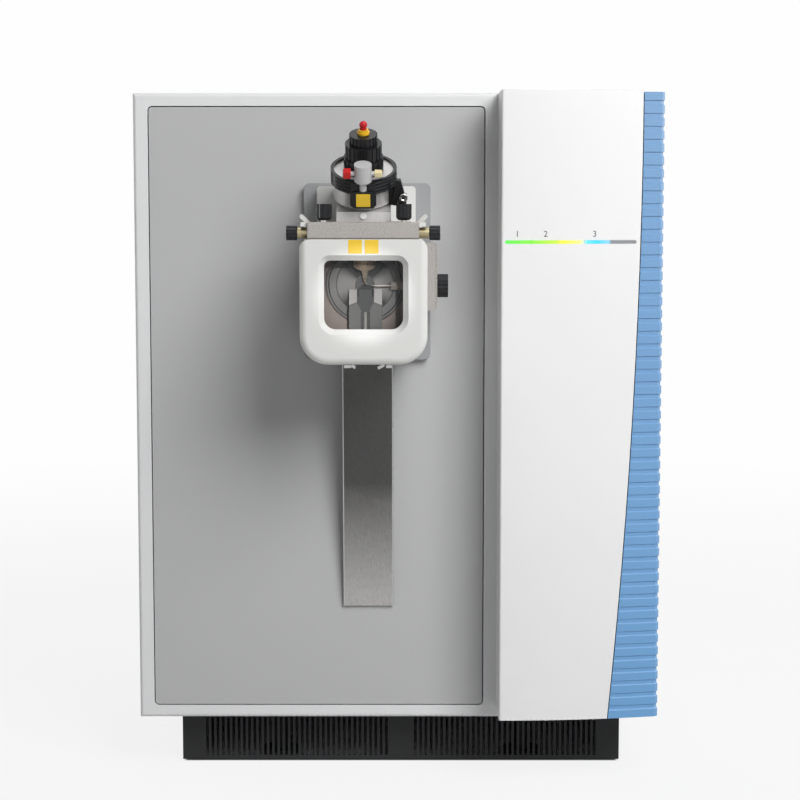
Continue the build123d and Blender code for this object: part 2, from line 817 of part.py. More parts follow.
# ---------------------------------------------------------------- source mount
def source_flange():
    """Grey plate that carries the source on the front panel."""
    outline = plate_outline(FLANGE_LEFT, FLANGE_RIGHT, FLANGE_LOW, FLANGE_HIGH, FLANGE_CORNER_R)
    plate = extrude(facing(-PANEL_SET_BACK) * outline, FLANGE_REACH + PANEL_SET_BACK)
    return plate - along_y(y_of(FLANGE_REACH + BITE), BEZEL_Y + BITE, AXIS_X, AXIS_Z, INLET_BORE_R)


def sweep_cone():
    """Turned disc with a shallow cone and a wide mouth round the inlet tube."""
    back = FLANGE_REACH
    disc = back + CONE_DISC
    step = disc + CONE_STEP
    tip = step + CONE_RISE
    floor = tip - CONE_MOUTH_DEPTH
    bore = TUBE_R + RUN
    profile = [
        (bore, back),
        (CONE_R, back),
        (CONE_R, disc),
        (CONE_LINE_R + CONE_LINE, disc),
        (CONE_LINE_R, disc - CONE_LINE),
        (CONE_LINE_R - CONE_LINE, disc),
        (CONE_STEP_R + CONE_STEP, disc),
        (CONE_STEP_R, step),
        (CONE_MOUTH_R + CONE_STEP, tip),
        (CONE_MOUTH_R, tip),
        (CONE_MOUTH_R, floor),
        (bore, floor),
    ]
    return turned_front(profile, AXIS_X, AXIS_Z)


def ion_transfer_tube():
    """Heated capillary that leads the ions into the vacuum."""
    back = TUBE_REACH - TUBE_LENGTH
    profile = [
        (TUBE_BORE_R, back),
        (TUBE_R, back),
        (TUBE_R, TUBE_REACH),
        (TUBE_BORE_R, TUBE_REACH),
    ]
    return turned_front(profile, AXIS_X, AXIS_Z)


def drain_channel():
    """Brushed steel wedge-shaped channel that tapers down the front panel."""
    back = -PANEL_SET_BACK
    side = [(back, DRAIN_LOW), (DRAIN_FOOT, DRAIN_LOW), (DRAIN_HEAD, DRAIN_HIGH), (back, DRAIN_HIGH)]
    inner = [
        (back - BITE, DRAIN_LOW + DRAIN_SHEET),
        (DRAIN_FOOT - DRAIN_SHEET, DRAIN_LOW + DRAIN_SHEET),
        (DRAIN_HEAD - DRAIN_SHEET, DRAIN_HIGH + BITE),
        (back - BITE, DRAIN_HIGH + BITE),
    ]
    width = DRAIN_RIGHT - DRAIN_LEFT
    outer = side_prism(side, DRAIN_LEFT, width)
    return outer - side_prism(inner, DRAIN_LEFT + DRAIN_SHEET, width - 2 * DRAIN_SHEET)


def side_prism(points, x0, width):
    """A prism along X from (reach, z) points."""
    outline = Polygon(*[(y_of(reach), z) for reach, z in points], align=None)
    return extrude(Plane.YZ.offset(x0) * outline, width, dir=(1, 0, 0))


# ---------------------------------------------------------------- source housing and cover
def probe_bore(clear):
    """The tilted hole that the probe passes through."""
    length = 2 * COLLAR_LOW
    return PROBE * Pos(0, 0, length / 2) * Cylinder(NOZZLE_STEP_R + clear, length)


def source_housing():
    """Aluminium chamber: open to the window, with a round mouth at its back."""
    half = CHAMBER_HALF + CHAMBER_WALL
    low = CHAMBER_LOW - CHAMBER_WALL
    high = CHAMBER_HIGH + CHAMBER_WALL
    box = slab(SOURCE_X - half, SOURCE_X + half, CHAMBER_BACK, CHAMBER_FRONT, low, high)
    box -= slab(
        SOURCE_X - CHAMBER_HALF,
        SOURCE_X + CHAMBER_HALF,
        CHAMBER_BACK + CHAMBER_BACK_WALL,
        CHAMBER_FRONT + BITE,
        CHAMBER_LOW,
        CHAMBER_HIGH,
    )
    inner = CHAMBER_BACK + CHAMBER_BACK_WALL
    mouth = [
        (0, CHAMBER_BACK - BITE),
        (CHAMBER_MOUTH_R, CHAMBER_BACK - BITE),
        (CHAMBER_MOUTH_R, inner - CHAMBER_MOUTH_BEVEL),
        (CHAMBER_MOUTH_R + CHAMBER_MOUTH_BEVEL, inner),
        (CHAMBER_MOUTH_R + CHAMBER_MOUTH_BEVEL, inner + BITE),
        (0, inner + BITE),
    ]
    box -= turned_front(mouth, AXIS_X, AXIS_Z)
    right = SOURCE_X + half
    box -= along_x(right - 2 * CHAMBER_WALL, right + BITE, y_of(NEEDLE_REACH), NEEDLE_Z, NEEDLE_SHAFT_R + RUN)
    return box - probe_bore(PORT_BORE_CLEAR)


def cover_outline(inset, taller=0.0):
    """Front outline of the white cover."""
    width = 2 * (COVER_HALF - inset)
    height = COVER_TOP - COVER_LOW + taller - 2 * inset
    face = rounded(width, height, COVER_LOW_R - inset, COVER_TOP_R - inset)
    return Pos(SOURCE_X, (COVER_TOP + COVER_LOW + taller) / 2) * face


def window_outline(grow):
    """Window outline; grow widens it towards the outer edge of the bevel."""
    width = 2 * (WINDOW_HALF + grow)
    height = WINDOW_HIGH - WINDOW_LOW + 2 * grow
    face = rounded(width, height, WINDOW_LOW_R + grow, WINDOW_TOP_R + grow)
    return Pos(SOURCE_X, (WINDOW_HIGH + WINDOW_LOW) / 2) * face


def cover_ear(sign):
    """Hook beside the crossbar's end: a wall round the stud and a lip over it."""
    end = BAR_RIGHT if sign > 0 else BAR_LEFT
    near = end + sign * SEAT
    reach0 = SIDE_STUD_REACH - EAR_DEPTH / 2
    reach1 = SIDE_STUD_REACH + EAR_DEPTH / 2
    wall = sorted((near, near + sign * EAR_THICK))
    lip = sorted((near, near + sign * EAR_LIP))
    ear = slab(*wall, reach0, reach1, COVER_TOP - COVER_WALL, BAR_HIGH)
    ear += slab(*lip, reach0, reach1, BAR_HIGH - EAR_LIP_HIGH, BAR_HIGH)
    hole = SIDE_STUD_R + EAR_CLEAR
    cut = (wall[0] - BITE, wall[1] + BITE)
    ear -= along_x(*cut, y_of(SIDE_STUD_REACH), SIDE_STUD_Z, hole)
    return ear - slab(*cut, SIDE_STUD_REACH, reach1 + BITE, SIDE_STUD_Z - hole, SIDE_STUD_Z + hole)


def front_cover():
    """White moulded cover with a bevelled window, wrapped round the chamber."""
    depth = SOURCE_REACH - COVER_BACK_REACH
    shell = extrude(facing(COVER_BACK_REACH) * cover_outline(0, COVER_TOP_R + COVER_EDGE_R), depth)
    shell = fillet(shell.faces().sort_by(Axis.Y)[0].edges(), COVER_EDGE_R)
    shell &= extrude(facing(COVER_BACK_REACH) * cover_outline(0), depth)
    hollow = facing(COVER_BACK_REACH - BITE) * cover_outline(COVER_WALL)
    shell -= extrude(hollow, COVER_FACE_INNER - COVER_BACK_REACH + BITE)
    shell -= extrude(facing(COVER_FACE_INNER - BITE) * window_outline(0), 2 * BITE)
    bevel_deep = COVER_FACE_WALL - BITE
    slant = math.degrees(math.atan(WINDOW_BEVEL / bevel_deep))
    middle = facing(COVER_FACE_INNER + BITE) * window_outline(0)
    shell -= extrude(middle, bevel_deep + WINDOW_OVERRUN, taper=-slant)
    shell -= slab(
        SOURCE_X + COVER_HALF - 2 * COVER_WALL,
        SOURCE_X + COVER_HALF + BITE,
        0,
        PLATE_REACH + PLATE_CLEAR,
        PLATE_LOW - PLATE_CLEAR,
        PLATE_HIGH + PLATE_CLEAR,
    )
    shell -= probe_bore(PORT_BORE_CLEAR)
    return shell + cover_ear(-1) + cover_ear(1)


def window_glass():
    """Flat pane between the cover's face and the chamber's rim."""
    pane = window_outline(GLASS_MARGIN)
    return extrude(facing(GLASS_BACK) * pane, GLASS_THICK)


def crossbar():
    """Bead-blasted bar across the top with the deck behind it and the latch pins."""
    bar = slab(BAR_LEFT, BAR_RIGHT, BAR_BACK_REACH, BAR_REACH, BAR_LOW, BAR_HIGH)
    bar = chamfer(bar.faces().sort_by(Axis.Y)[0].edges(), BAR_EDGE)
    middle = (BAR_LEFT + BAR_RIGHT) / 2
    bar += slab(middle - DECK_HALF, middle + DECK_HALF, DECK_BACK_REACH, BAR_BACK_REACH, BAR_LOW, BAR_HIGH)
    for x in pull_places():
        low = BAR_HIGH - PULL_STUD_LENGTH
        bar -= along_z(low, BAR_HIGH + BITE, x, y_of(PULL_REACH), PULL_STUD_R + RUN)
    for sign in (-1, 1):
        x = latch_x(sign)
        pin_back = y_of(BAR_BACK_REACH - LATCH_THICK - 2 * SEAT)
        bar += along_y(y_of(BAR_BACK_REACH), pin_back, x, LATCH_PIVOT_Z, LATCH_PIN_R)
    return bar - probe_bore(PORT_BORE_CLEAR)


def latch_x(sign):
    """X of a latch's pivot, just inside the crossbar's end."""
    end = BAR_RIGHT if sign > 0 else BAR_LEFT
    return end - sign * LATCH_PIVOT_OUT


def latch_lever(sign):
    """Flat locking lever on its pin behind the crossbar, lying at 45 degrees."""
    bar = SlotOverall(LATCH_LENGTH + 2 * LATCH_HALF, 2 * LATCH_HALF)
    bar -= Pos(-LATCH_LENGTH / 2, 0) * Circle(LATCH_PIN_R + RUN)
    angle = LATCH_ANGLE if sign > 0 else 180 - LATCH_ANGLE
    turned_bar = Pos(latch_x(sign), LATCH_PIVOT_Z) * Rot(0, 0, angle) * Pos(LATCH_LENGTH / 2, 0) * bar
    return extrude(facing(BAR_BACK_REACH - SEAT - LATCH_THICK) * turned_bar, LATCH_THICK)


def rear_block():
    """White casting behind the probe with a raised middle."""
    low = BAR_LOW
    shoulder = REAR_BLOCK_REACH - REAR_BLOCK_STEP
    block = slab(REAR_BLOCK_LEFT, REAR_BLOCK_RIGHT, CHAMBER_BACK, shoulder, low, REAR_BLOCK_HIGH)
    block = fillet(block.edges().filter_by(Axis.Y).group_by(Axis.Z)[-1], REAR_BLOCK_R)
    middle = (REAR_BLOCK_LEFT + REAR_BLOCK_RIGHT) / 2
    raised = slab(
        middle - REAR_BLOCK_RAISED_HALF,
        middle + REAR_BLOCK_RAISED_HALF,
        shoulder,
        REAR_BLOCK_REACH,
        low,
        REAR_BLOCK_HIGH - REAR_BLOCK_R,
    )
    return block + raised


def pull_places():
    """X of the two upright thumbscrews."""
    return (SOURCE_X - PULL_SPACING, SOURCE_X + PULL_SPACING)


def thumbscrew(x):
    """Upright fluted knob on a steel stud."""
    low = BAR_HIGH + PULL_LIFT
    knob = fluted_knob(PULL_R, PULL_FLUTE_DEPTH, PULL_FLUTES, PULL_HIGH, PULL_BEVEL)
    stud = along_z(BAR_HIGH - PULL_STUD_LENGTH + SEAT, low, 0, 0, PULL_STUD_R)
    return Pos(x, y_of(PULL_REACH), 0) * (Pos(0, 0, low) * knob + stud)


def side_stud(sign):
    """Brass stud on the crossbar's end with a spigot for its knob."""
    start = BAR_RIGHT if sign > 0 else BAR_LEFT
    shoulder = start + sign * SIDE_STUD_LENGTH
    tip = shoulder + sign * SIDE_SPIGOT_LENGTH
    y = y_of(SIDE_STUD_REACH)
    stud = along_x(*sorted((start, shoulder)), y, SIDE_STUD_Z, SIDE_STUD_R)
    return stud + along_x(*sorted((shoulder, tip)), y, SIDE_STUD_Z, SIDE_SPIGOT_R)


def side_studs():
    """The pair of brass studs."""
    return Compound(children=[side_stud(-1), side_stud(1)])


def side_knob(sign):
    """Fluted black knob that turns on a brass stud."""
    start = (BAR_RIGHT if sign > 0 else BAR_LEFT) + sign * (SIDE_STUD_LENGTH + SEAT)
    knob = fluted_knob(SIDE_KNOB_R, PULL_FLUTE_DEPTH, PULL_FLUTES, SIDE_KNOB_LONG, BAR_EDGE)
    bore_deep = SIDE_KNOB_LONG - SIDE_KNOB_WALL
    knob -= Pos(0, 0, bore_deep / 2) * Cylinder(SIDE_SPIGOT_R + RUN, bore_deep)
    return Pos(start, y_of(SIDE_STUD_REACH), SIDE_STUD_Z) * Rot(0, sign * 90, 0) * knob


# ---------------------------------------------------------------- needle and drain block
def side_plate():
    """Aluminium plate on the chamber's right side that carries the needle's shaft."""
    wall_x = SOURCE_X + CHAMBER_HALF + CHAMBER_WALL
    out_x = SOURCE_X + COVER_HALF + PLATE_OUT
    plate = slab(wall_x, out_x, PLATE_BACK_REACH, PLATE_REACH, PLATE_LOW, PLATE_HIGH)
    plate = chamfer(plate.faces().sort_by(Axis.X)[-1].edges(), PLATE_CHAMFER)
    y = y_of(NEEDLE_REACH)
    return plate - along_x(wall_x - BITE, out_x + BITE, y, NEEDLE_Z, NEEDLE_SHAFT_R + RUN)


def needle_knob_x():
    """Inner face of the needle's knob."""
    return SOURCE_X + COVER_HALF + PLATE_OUT + SEAT


def discharge_needle():
    """Pointed needle in a hexagonal fitting on the shaft of its knob."""
    y = y_of(NEEDLE_REACH)
    point = [
        (0, 0),
        (NEEDLE_R, NEEDLE_POINT),
        (NEEDLE_R, HEX_LEFT - NEEDLE_TIP_X),
        (0, HEX_LEFT - NEEDLE_TIP_X),
    ]
    needle = Pos(NEEDLE_TIP_X, y, NEEDLE_Z) * Rot(0, 90, 0) * turned(point)
    hexagon = RegularPolygon(HEX_FLATS / 2, 6, major_radius=False)
    fitting = extrude(Plane.YZ.offset(HEX_LEFT) * (Pos(y, NEEDLE_Z) * hexagon), HEX_LENGTH)
    shaft_end = needle_knob_x() + NEEDLE_KNOB_LONG - NEEDLE_KNOB_WALL
    return needle + fitting + along_x(HEX_LEFT + HEX_LENGTH, shaft_end, y, NEEDLE_Z, NEEDLE_SHAFT_R)


def needle_knob():
    """Large fluted knob on the needle's shaft."""
    knob = fluted_knob(NEEDLE_KNOB_R, PULL_FLUTE_DEPTH, NEEDLE_KNOB_FLUTES, NEEDLE_KNOB_LONG, BAR_EDGE)
    deep = NEEDLE_KNOB_LONG - NEEDLE_KNOB_WALL
    knob -= Pos(0, 0, deep / 2) * Cylinder(NEEDLE_SHAFT_R, deep)
    return Pos(needle_knob_x(), y_of(NEEDLE_REACH), NEEDLE_Z) * Rot(0, 90, 0) * knob


def facet_cut(outer_x, inner_x):
    """A wedge off the drain block's top front corner, deeper at its outer end."""
    ends = []
    for x, drop in ((outer_x, FACET_OUTER), (inner_x, FACET_INNER)):
        corner = [
            (y_of(BLOCK_REACH + BITE), BLOCK_TOP - drop),
            (y_of(BLOCK_REACH + BITE), BLOCK_TOP + BITE),
            (y_of(BLOCK_REACH - FACET_RUN), BLOCK_TOP + BITE),
        ]
        ends.append(Plane.YZ.offset(x) * Polygon(*corner, align=None))
    return loft(ends, ruled=True)


def drain_block():
    """Polished block before the inlet: faceted shoulders, a pocket and a drain groove."""
    block = slab(BLOCK_LEFT, BLOCK_RIGHT, BLOCK_BACK_REACH, BLOCK_REACH, CHAMBER_LOW, BLOCK_TOP)
    middle = (BLOCK_LEFT + BLOCK_RIGHT) / 2
    foot_z = POCKET_FOOT_Z + POCKET_FOOT_R
    pocket = Polygon(
        (-POCKET_HALF, POCKET_SHOULDER_Z),
        (-POCKET_FOOT_R, foot_z),
        (POCKET_FOOT_R, foot_z),
        (POCKET_HALF, POCKET_SHOULDER_Z),
        (POCKET_HALF, BLOCK_TOP + BITE),
        (-POCKET_HALF, BLOCK_TOP + BITE),
        align=None,
    )
    pocket += Pos(0, foot_z) * Circle(POCKET_FOOT_R)
    block -= extrude(facing(BLOCK_REACH - POCKET_DEEP) * (Pos(middle, 0) * pocket), POCKET_DEEP + BITE)
    insert_y = y_of(BLOCK_REACH - POCKET_DEEP / 2)
    block += along_y(insert_y, y_of(BLOCK_BACK_REACH), middle, INSERT_Z, INSERT_R)
    front = BLOCK_REACH + BITE
    block -= slab(middle - GROOVE_HALF, middle + GROOVE_HALF, BLOCK_REACH - POCKET_DEEP, front,
                  CHAMBER_LOW - BITE, POCKET_FOOT_Z + BITE)
    block -= facet_cut(BLOCK_LEFT - BITE, BLOCK_LEFT + FACET_WIDTH)
    block -= facet_cut(BLOCK_RIGHT + BITE, BLOCK_RIGHT - FACET_WIDTH)
    tube_y = y_of(BLOCK_REACH - POCKET_DEEP + DRAIN_TUBE_R)
    return block + along_z(CHAMBER_LOW, POCKET_FOOT_Z, middle, tube_y, DRAIN_TUBE_R)


# ---------------------------------------------------------------- spray probe
def probe_port():
    """Machined block with a tilted collar that takes the probe."""
    slope = [
        (PORT_BACK_REACH, BAR_HIGH),
        (collar_reach(COLLAR_R), BAR_HIGH),
        (collar_reach(COLLAR_R), collar_z(COLLAR_R)),
        (collar_reach(-COLLAR_R), collar_z(-COLLAR_R)),
        (PORT_BACK_REACH, collar_z(-COLLAR_R)),
    ]
    block = side_prism(slope, PROBE_X - PORT_HALF, 2 * PORT_HALF)
    profile = [
        (0, COLLAR_LOW),
        (COLLAR_R - COLLAR_BEVEL, COLLAR_LOW),
        (COLLAR_R, COLLAR_LOW + COLLAR_BEVEL),
        (COLLAR_R, COLLAR_HIGH),
        (0, COLLAR_HIGH),
    ]
    bore_long = 2 * COLLAR_HIGH
    bore = PROBE * Pos(0, 0, bore_long / 2) * Cylinder(NOZZLE_STEP_R, bore_long)
    pin_y = y_of(collar_reach(COLLAR_R))
    pin = along_y(pin_y - PIN_LONG, pin_y + PIN_LONG, PROBE_X, PIN_Z, PIN_R)
    return block + PROBE * turned(profile) + pin - bore


def collar_reach(out):
    """Reach of a point on the collar's lower plane, this far forward of its axis."""
    return TIP_REACH + TILT_SIN * COLLAR_LOW + TILT_COS * out


def collar_z(out):
    """Height of that point."""
    return TIP_Z + TILT_COS * COLLAR_LOW - TILT_SIN * out


def stem_top():
    """Height along the probe of the stem's end, above the top knob."""
    return COLLAR_HIGH + LOW_RING_LONG + MID_KNOB_LONG + TOP_KNOB_LONG + 3 * SEAT


def spray_probe():
    """Nozzle, probe barrel and the stem that its knobs turn on."""
    profile = [
        (0, 0),
        (NOZZLE_TIP_R, 0),
        (NOZZLE_CONE_R, NOZZLE_CONE_LONG),
        (NOZZLE_STEP_R, NOZZLE_CONE_LONG),
        (NOZZLE_STEP_R, COLLAR_HIGH),
        (STEM_R, COLLAR_HIGH),
        (STEM_R, stem_top()),
        (0, stem_top()),
    ]
    return PROBE * turned(profile)


def lock_ring():
    """Black ring with circumferential grooves round the collar."""
    pitch = (RING_HIGH - RING_LOW) / RING_GROOVES
    profile = [(COLLAR_R + RUN, RING_LOW), (RING_R, RING_LOW)]
    for i in range(RING_GROOVES):
        z = RING_LOW + i * pitch
        profile.append((RING_R - RING_GROOVE_DEEP, z + pitch / 2))
        profile.append((RING_R, z + pitch))
    profile.append((COLLAR_R + RUN, RING_HIGH))
    return PROBE * turned(profile)


def fluted_ring(radius, low, length, bore):
    """A fluted ring round the probe's stem."""
    outline = fluted_outline(radius, KNOB_FLUTE_DEEP, KNOB_FLUTES, FLUTE_LAND) - Circle(bore)
    return PROBE * extrude(Pos(0, 0, low) * outline, length)


def probe_low_ring():
    """Fixed fluted ring on the collar."""
    return fluted_ring(LOW_RING_R, COLLAR_HIGH, LOW_RING_LONG, STEM_R)


def probe_mid_knob():
    """Fluted knob that sets the probe's depth."""
    low = COLLAR_HIGH + LOW_RING_LONG + SEAT
    return fluted_ring(MID_KNOB_R, low, MID_KNOB_LONG, STEM_R + RUN)


def probe_top_knob():
    """Fluted knob that locks the needle insert."""
    low = COLLAR_HIGH + LOW_RING_LONG + MID_KNOB_LONG + 2 * SEAT
    return fluted_ring(TOP_KNOB_R, low, TOP_KNOB_LONG, STEM_R + RUN)


def collar_top():
    """Height along the probe of the small collar's upper face."""
    return stem_top() + NECK_LONG + NECK_TOP_LONG


def yellow_collar():
    """Small stepped collar on top of the stem, with a spigot for the cap."""
    low = stem_top()
    step = low + NECK_LONG
    top = collar_top()
    profile = [
        (0, low),
        (NECK_R, low),
        (NECK_R, step),
        (NECK_TOP_R, step),
        (NECK_TOP_R, top),
        (SPIGOT_R, top),
        (SPIGOT_R, top + SPIGOT_LONG),
        (0, top + SPIGOT_LONG),
    ]
    return PROBE * turned(profile)


def red_cap():
    """Ball-topped cap over the spigot."""
    low = collar_top() + SEAT
    body = Pos(0, 0, low + CAP_LONG / 2) * Cylinder(CAP_SKIRT_R, CAP_LONG)
    body += Pos(0, 0, low + CAP_LONG) * Sphere(CAP_R)
    bore = Pos(0, 0, low + SPIGOT_LONG / 2) * Cylinder(SPIGOT_R + RUN, SPIGOT_LONG)
    return PROBE * (body - bore)


# ---------------------------------------------------------------- union, bracket and clamp
def union_body():
    """Silver gas union on its stem, with a short arm on each side."""
    low = UNION_LOW
    profile = [
        (0, BRACKET_HIGH),
        (UNION_STEM_R, BRACKET_HIGH),
        (UNION_STEM_R, low),
        (UNION_R - UNION_BEVEL, low),
        (UNION_R, low + UNION_BEVEL),
        (UNION_R, low + UNION_LONG),
        (0, low + UNION_LONG),
    ]
    arms = (-UNION_R - RED_NECK_LONG, UNION_R + CREAM_NECK_LONG)
    body = Pos(0, -UNION_OUT, 0) * turned(profile)
    return PROBE * (body + along_x(*arms, -UNION_OUT, FITTING_S, FITTING_NECK_R))


def line_fitting(start, hex_flats, hex_long):
    """Hexagonal line fitting, from the end of the union's arm to the right."""
    hexagon = Rot(0, 0, FITTING_TURN) * RegularPolygon(hex_flats / 2, 6, major_radius=False)
    fitting = extrude(Plane.YZ.offset(start) * (Pos(-UNION_OUT, FITTING_S) * hexagon), hex_long)
    return chamfer(fitting.edges().filter_by(GeomType.LINE).group_by(Axis.X)[-1], FITTING_BEVEL)


def line_fittings():
    """The red and the cream fitting."""
    red = mirror(line_fitting(UNION_R + RED_NECK_LONG, RED_HEX, RED_LONG), about=Plane.YZ)
    cream = line_fitting(UNION_R + CREAM_NECK_LONG, CREAM_HEX, CREAM_LONG)
    return Compound(children=[PROBE * red, PROBE * cream])


def union_bracket():
    """Black bracket on the collar's front that carries the union, clear of the ring."""
    face = Rectangle(2 * BRACKET_HALF, BRACKET_HIGH - BRACKET_LOW)
    face = Pos(0, (BRACKET_LOW + BRACKET_HIGH) / 2) * chamfer(face.vertices(), BRACKET_CORNER)
    near = COLLAR_R - BRACKET_CORNER
    bracket = extrude(Plane.XZ.offset(near) * face, BRACKET_FACE - near)
    for sign in (-1, 1):
        wall = sorted((sign * BRACKET_WALL_IN, sign * BRACKET_WALL_OUT))
        low = BRACKET_HIGH - BRACKET_CORNER
        bracket += span(*wall, -BRACKET_WALL_FRONT, -COLLAR_R, low, BRACKET_WALL_HIGH)
    middle = (BRACKET_LOW + COLLAR_HIGH) / 2
    bracket -= Pos(0, 0, middle) * Cylinder(COLLAR_R, COLLAR_HIGH - BRACKET_LOW + 2 * BITE)
    ring_low = RING_LOW - RING_CLEAR
    ring_long = BRACKET_WALL_HIGH - ring_low + BITE
    bracket -= Pos(0, 0, ring_low + ring_long / 2) * Cylinder(RING_R + RING_CLEAR, ring_long)
    return PROBE * bracket


def clamp_lug():
    """Black lug on the collar's right with an ear for the clamp lever."""
    block = span(LUG_NEAR, LUG_FAR, -LUG_FRONT, -LUG_BACK, LUG_LOW, LUG_HIGH)
    ear_low = LEVER_S - LEVER_ROOT_R
    ear_high = LEVER_S + LEVER_ROOT_R
    block += span(LUG_NEAR, LEVER_X + LEVER_ROOT_R, -LUG_FRONT, -LUG_SPLIT, ear_low, ear_high)
    middle = (LUG_LOW + LUG_HIGH) / 2
    block -= Pos(0, 0, middle) * Cylinder(COLLAR_R, 2 * (LUG_HIGH - LUG_LOW))
    block -= along_y(-LUG_FRONT - BITE, 0, LEVER_X, LEVER_S, LEVER_SCREW_R)
    return PROBE * block


def clamp_lever():
    """Black three-cornered lever on the lug's ear."""
    start = LUG_FRONT + SEAT
    outline = Polygon(
        (LEVER_ROOT_R, 0),
        (-LEVER_TIP_FAR, LEVER_LONG),
        (-LEVER_TIP_NEAR, LEVER_LONG),
        (-LEVER_NEAR, LEVER_ROOT_R),
        (-LEVER_NEAR, -LEVER_ROOT_R),
        (0, -LEVER_ROOT_R),
        align=None,
    )
    outline += Circle(LEVER_ROOT_R)
    outline = Pos(LEVER_X, LEVER_S) * (outline - Circle(LEVER_SCREW_R + RUN))
    return PROBE * extrude(Plane.XZ.offset(start) * outline, LEVER_THICK)


def clamp_screw():
    """Button-head screw that the lever turns on."""
    head = LUG_FRONT + SEAT + LEVER_THICK + SEAT
    screw = along_y(-head - LEVER_HEAD_HIGH, -LUG_SPLIT, LEVER_X, LEVER_S, LEVER_SCREW_R)
    screw += along_y(-head - LEVER_HEAD_HIGH, -head, LEVER_X, LEVER_S, LEVER_HEAD_R)
    return PROBE * screw


# ---------------------------------------------------------------- rear of the cabinet
def rear_panel():
    """Rear sheet with two fan grilles and holes for the ports, socket and switch."""
    sheet = span(-HALF, HALF, REAR_Y - SHEET, REAR_Y, CABINET_FLOOR, TOP_SKIRT_Z - SEAT)
    for x in FAN_X:
        for i in range(GRILLE_SLOTS):
            out = (i - (GRILLE_SLOTS - 1) / 2) * GRILLE_PITCH
            half = math.sqrt(GRILLE_R**2 - out**2)
            sheet -= rear_hole(x + out, FAN_Z, GRILLE_SLOT, 2 * half)
    for x in HOSE_X:
        sheet -= along_y(REAR_Y - 2 * SHEET, REAR_Y + BITE, x, HOSE_Z, HOSE_PORT_R)
    for i in range(GAS_PORTS):
        x = GAS_X + i * GAS_SPACING
        sheet -= along_y(REAR_Y - 2 * SHEET, REAR_Y + BITE, x, GAS_Z, GAS_TUBE_R)
    sheet -= rear_hole(INLET_X, INLET_Z, INLET_BODY[0], INLET_BODY[1])
    return sheet - rear_hole(INLET_X, SWITCH_Z, SWITCH_WIDE, SWITCH_HIGH)


def rear_hole(x, z, width, height):
    """A rectangular cutter through the rear sheet."""
    half_w, half_h = width / 2, height / 2
    return span(x - half_w, x + half_w, REAR_Y - 2 * SHEET, REAR_Y + BITE, z - half_h, z + half_h)


def fan_frames():
    """Square fan frames behind the grilles, with a hub held by struts."""
    back_y = REAR_Y - SHEET
    front_y = back_y - FAN_DEEP
    half = FAN_SIZE / 2
    frames = []
    for x in FAN_X:
        frame = span(x - half, x + half, front_y, back_y, FAN_Z - half, FAN_Z + half)
        frame -= along_y(front_y - BITE, back_y + BITE, x, FAN_Z, FAN_DUCT_R)
        strut_y = front_y + SHEET
        frame += span(x - half, x + half, front_y, strut_y, FAN_Z - SHEET, FAN_Z + SHEET)
        frame += span(x - SHEET, x + SHEET, front_y, strut_y, FAN_Z - half, FAN_Z + half)
        frame += along_y(front_y, strut_y, x, FAN_Z, FAN_HUB_R)
        frame += along_y(strut_y, back_y - SHEET - 2 * SEAT, x, FAN_Z, FAN_AXLE_R)
        frames.append(frame)
    return Compound(children=frames)


def fan_rotor(x):
    """Hub with raked blades on the frame's axle."""
    front_y = REAR_Y - FAN_DEEP + SEAT
    back_y = REAR_Y - SHEET - SEAT
    rotor = along_y(front_y, back_y, x, FAN_Z, FAN_HUB_R)
    middle_y = (front_y + back_y) / 2
    blade_long = FAN_DUCT_R - FAN_BLADE_GAP - FAN_HUB_R + SHEET
    chord = FAN_DEEP - 4 * SHEET
    blade = Pos(FAN_HUB_R - SHEET + blade_long / 2, 0, 0) * Rot(40, 0, 0) * Box(blade_long, chord, SHEET)
    for i in range(FAN_BLADES):
        rotor += Pos(x, middle_y, FAN_Z) * Rot(0, i * 360 / FAN_BLADES, 0) * blade
    return rotor - along_y(front_y - BITE, back_y - SHEET, x, FAN_Z, FAN_AXLE_R + RUN)


def vacuum_ports():
    """Two flanged pipe stubs for the roughing-pump hoses."""
    ports = []
    for x in HOSE_X:
        tip = REAR_Y + PORT_STAND
        port = along_y(REAR_Y, REAR_Y + HOSE_FLANGE_THICK, x, HOSE_Z, HOSE_FLANGE_R)
        port += along_y(REAR_Y - 2 * SHEET, tip, x, HOSE_Z, HOSE_PORT_R)
        port -= along_y(REAR_Y - 3 * SHEET, tip + BITE, x, HOSE_Z, HOSE_PORT_BORE_R)
        ports.append(port)
    return Compound(children=ports)


def gas_ports():
    """A row of bulkhead tube stubs with hexagonal nuts."""
    ports = []
    for i in range(GAS_PORTS):
        x = GAS_X + i * GAS_SPACING
        tip = REAR_Y + GAS_TUBE_LONG
        nut = RegularPolygon(GAS_NUT / 2, 6, major_radius=False)
        nut = extrude(Plane.XZ.offset(-REAR_Y - GAS_NUT_THICK) * (Pos(x, GAS_Z) * nut), GAS_NUT_THICK)
        port = nut + along_y(REAR_Y - 2 * SHEET, tip, x, GAS_Z, GAS_TUBE_R)
        ports.append(port - along_y(REAR_Y - 3 * SHEET, tip + BITE, x, GAS_Z, GAS_BORE_R))
    return Compound(children=ports)


def rear_block_at(z, width, height, back, front):
    """A block on the inlet's centre line, from a depth in the panel to a stand off it."""
    half = width / 2
    return span(INLET_X - half, INLET_X + half, REAR_Y - back, REAR_Y + front, z - height / 2, z + height / 2)


def inlet_module():
    """Mains inlet and the housing of the main switch."""
    return Compound(children=[mains_inlet(), switch_housing()])


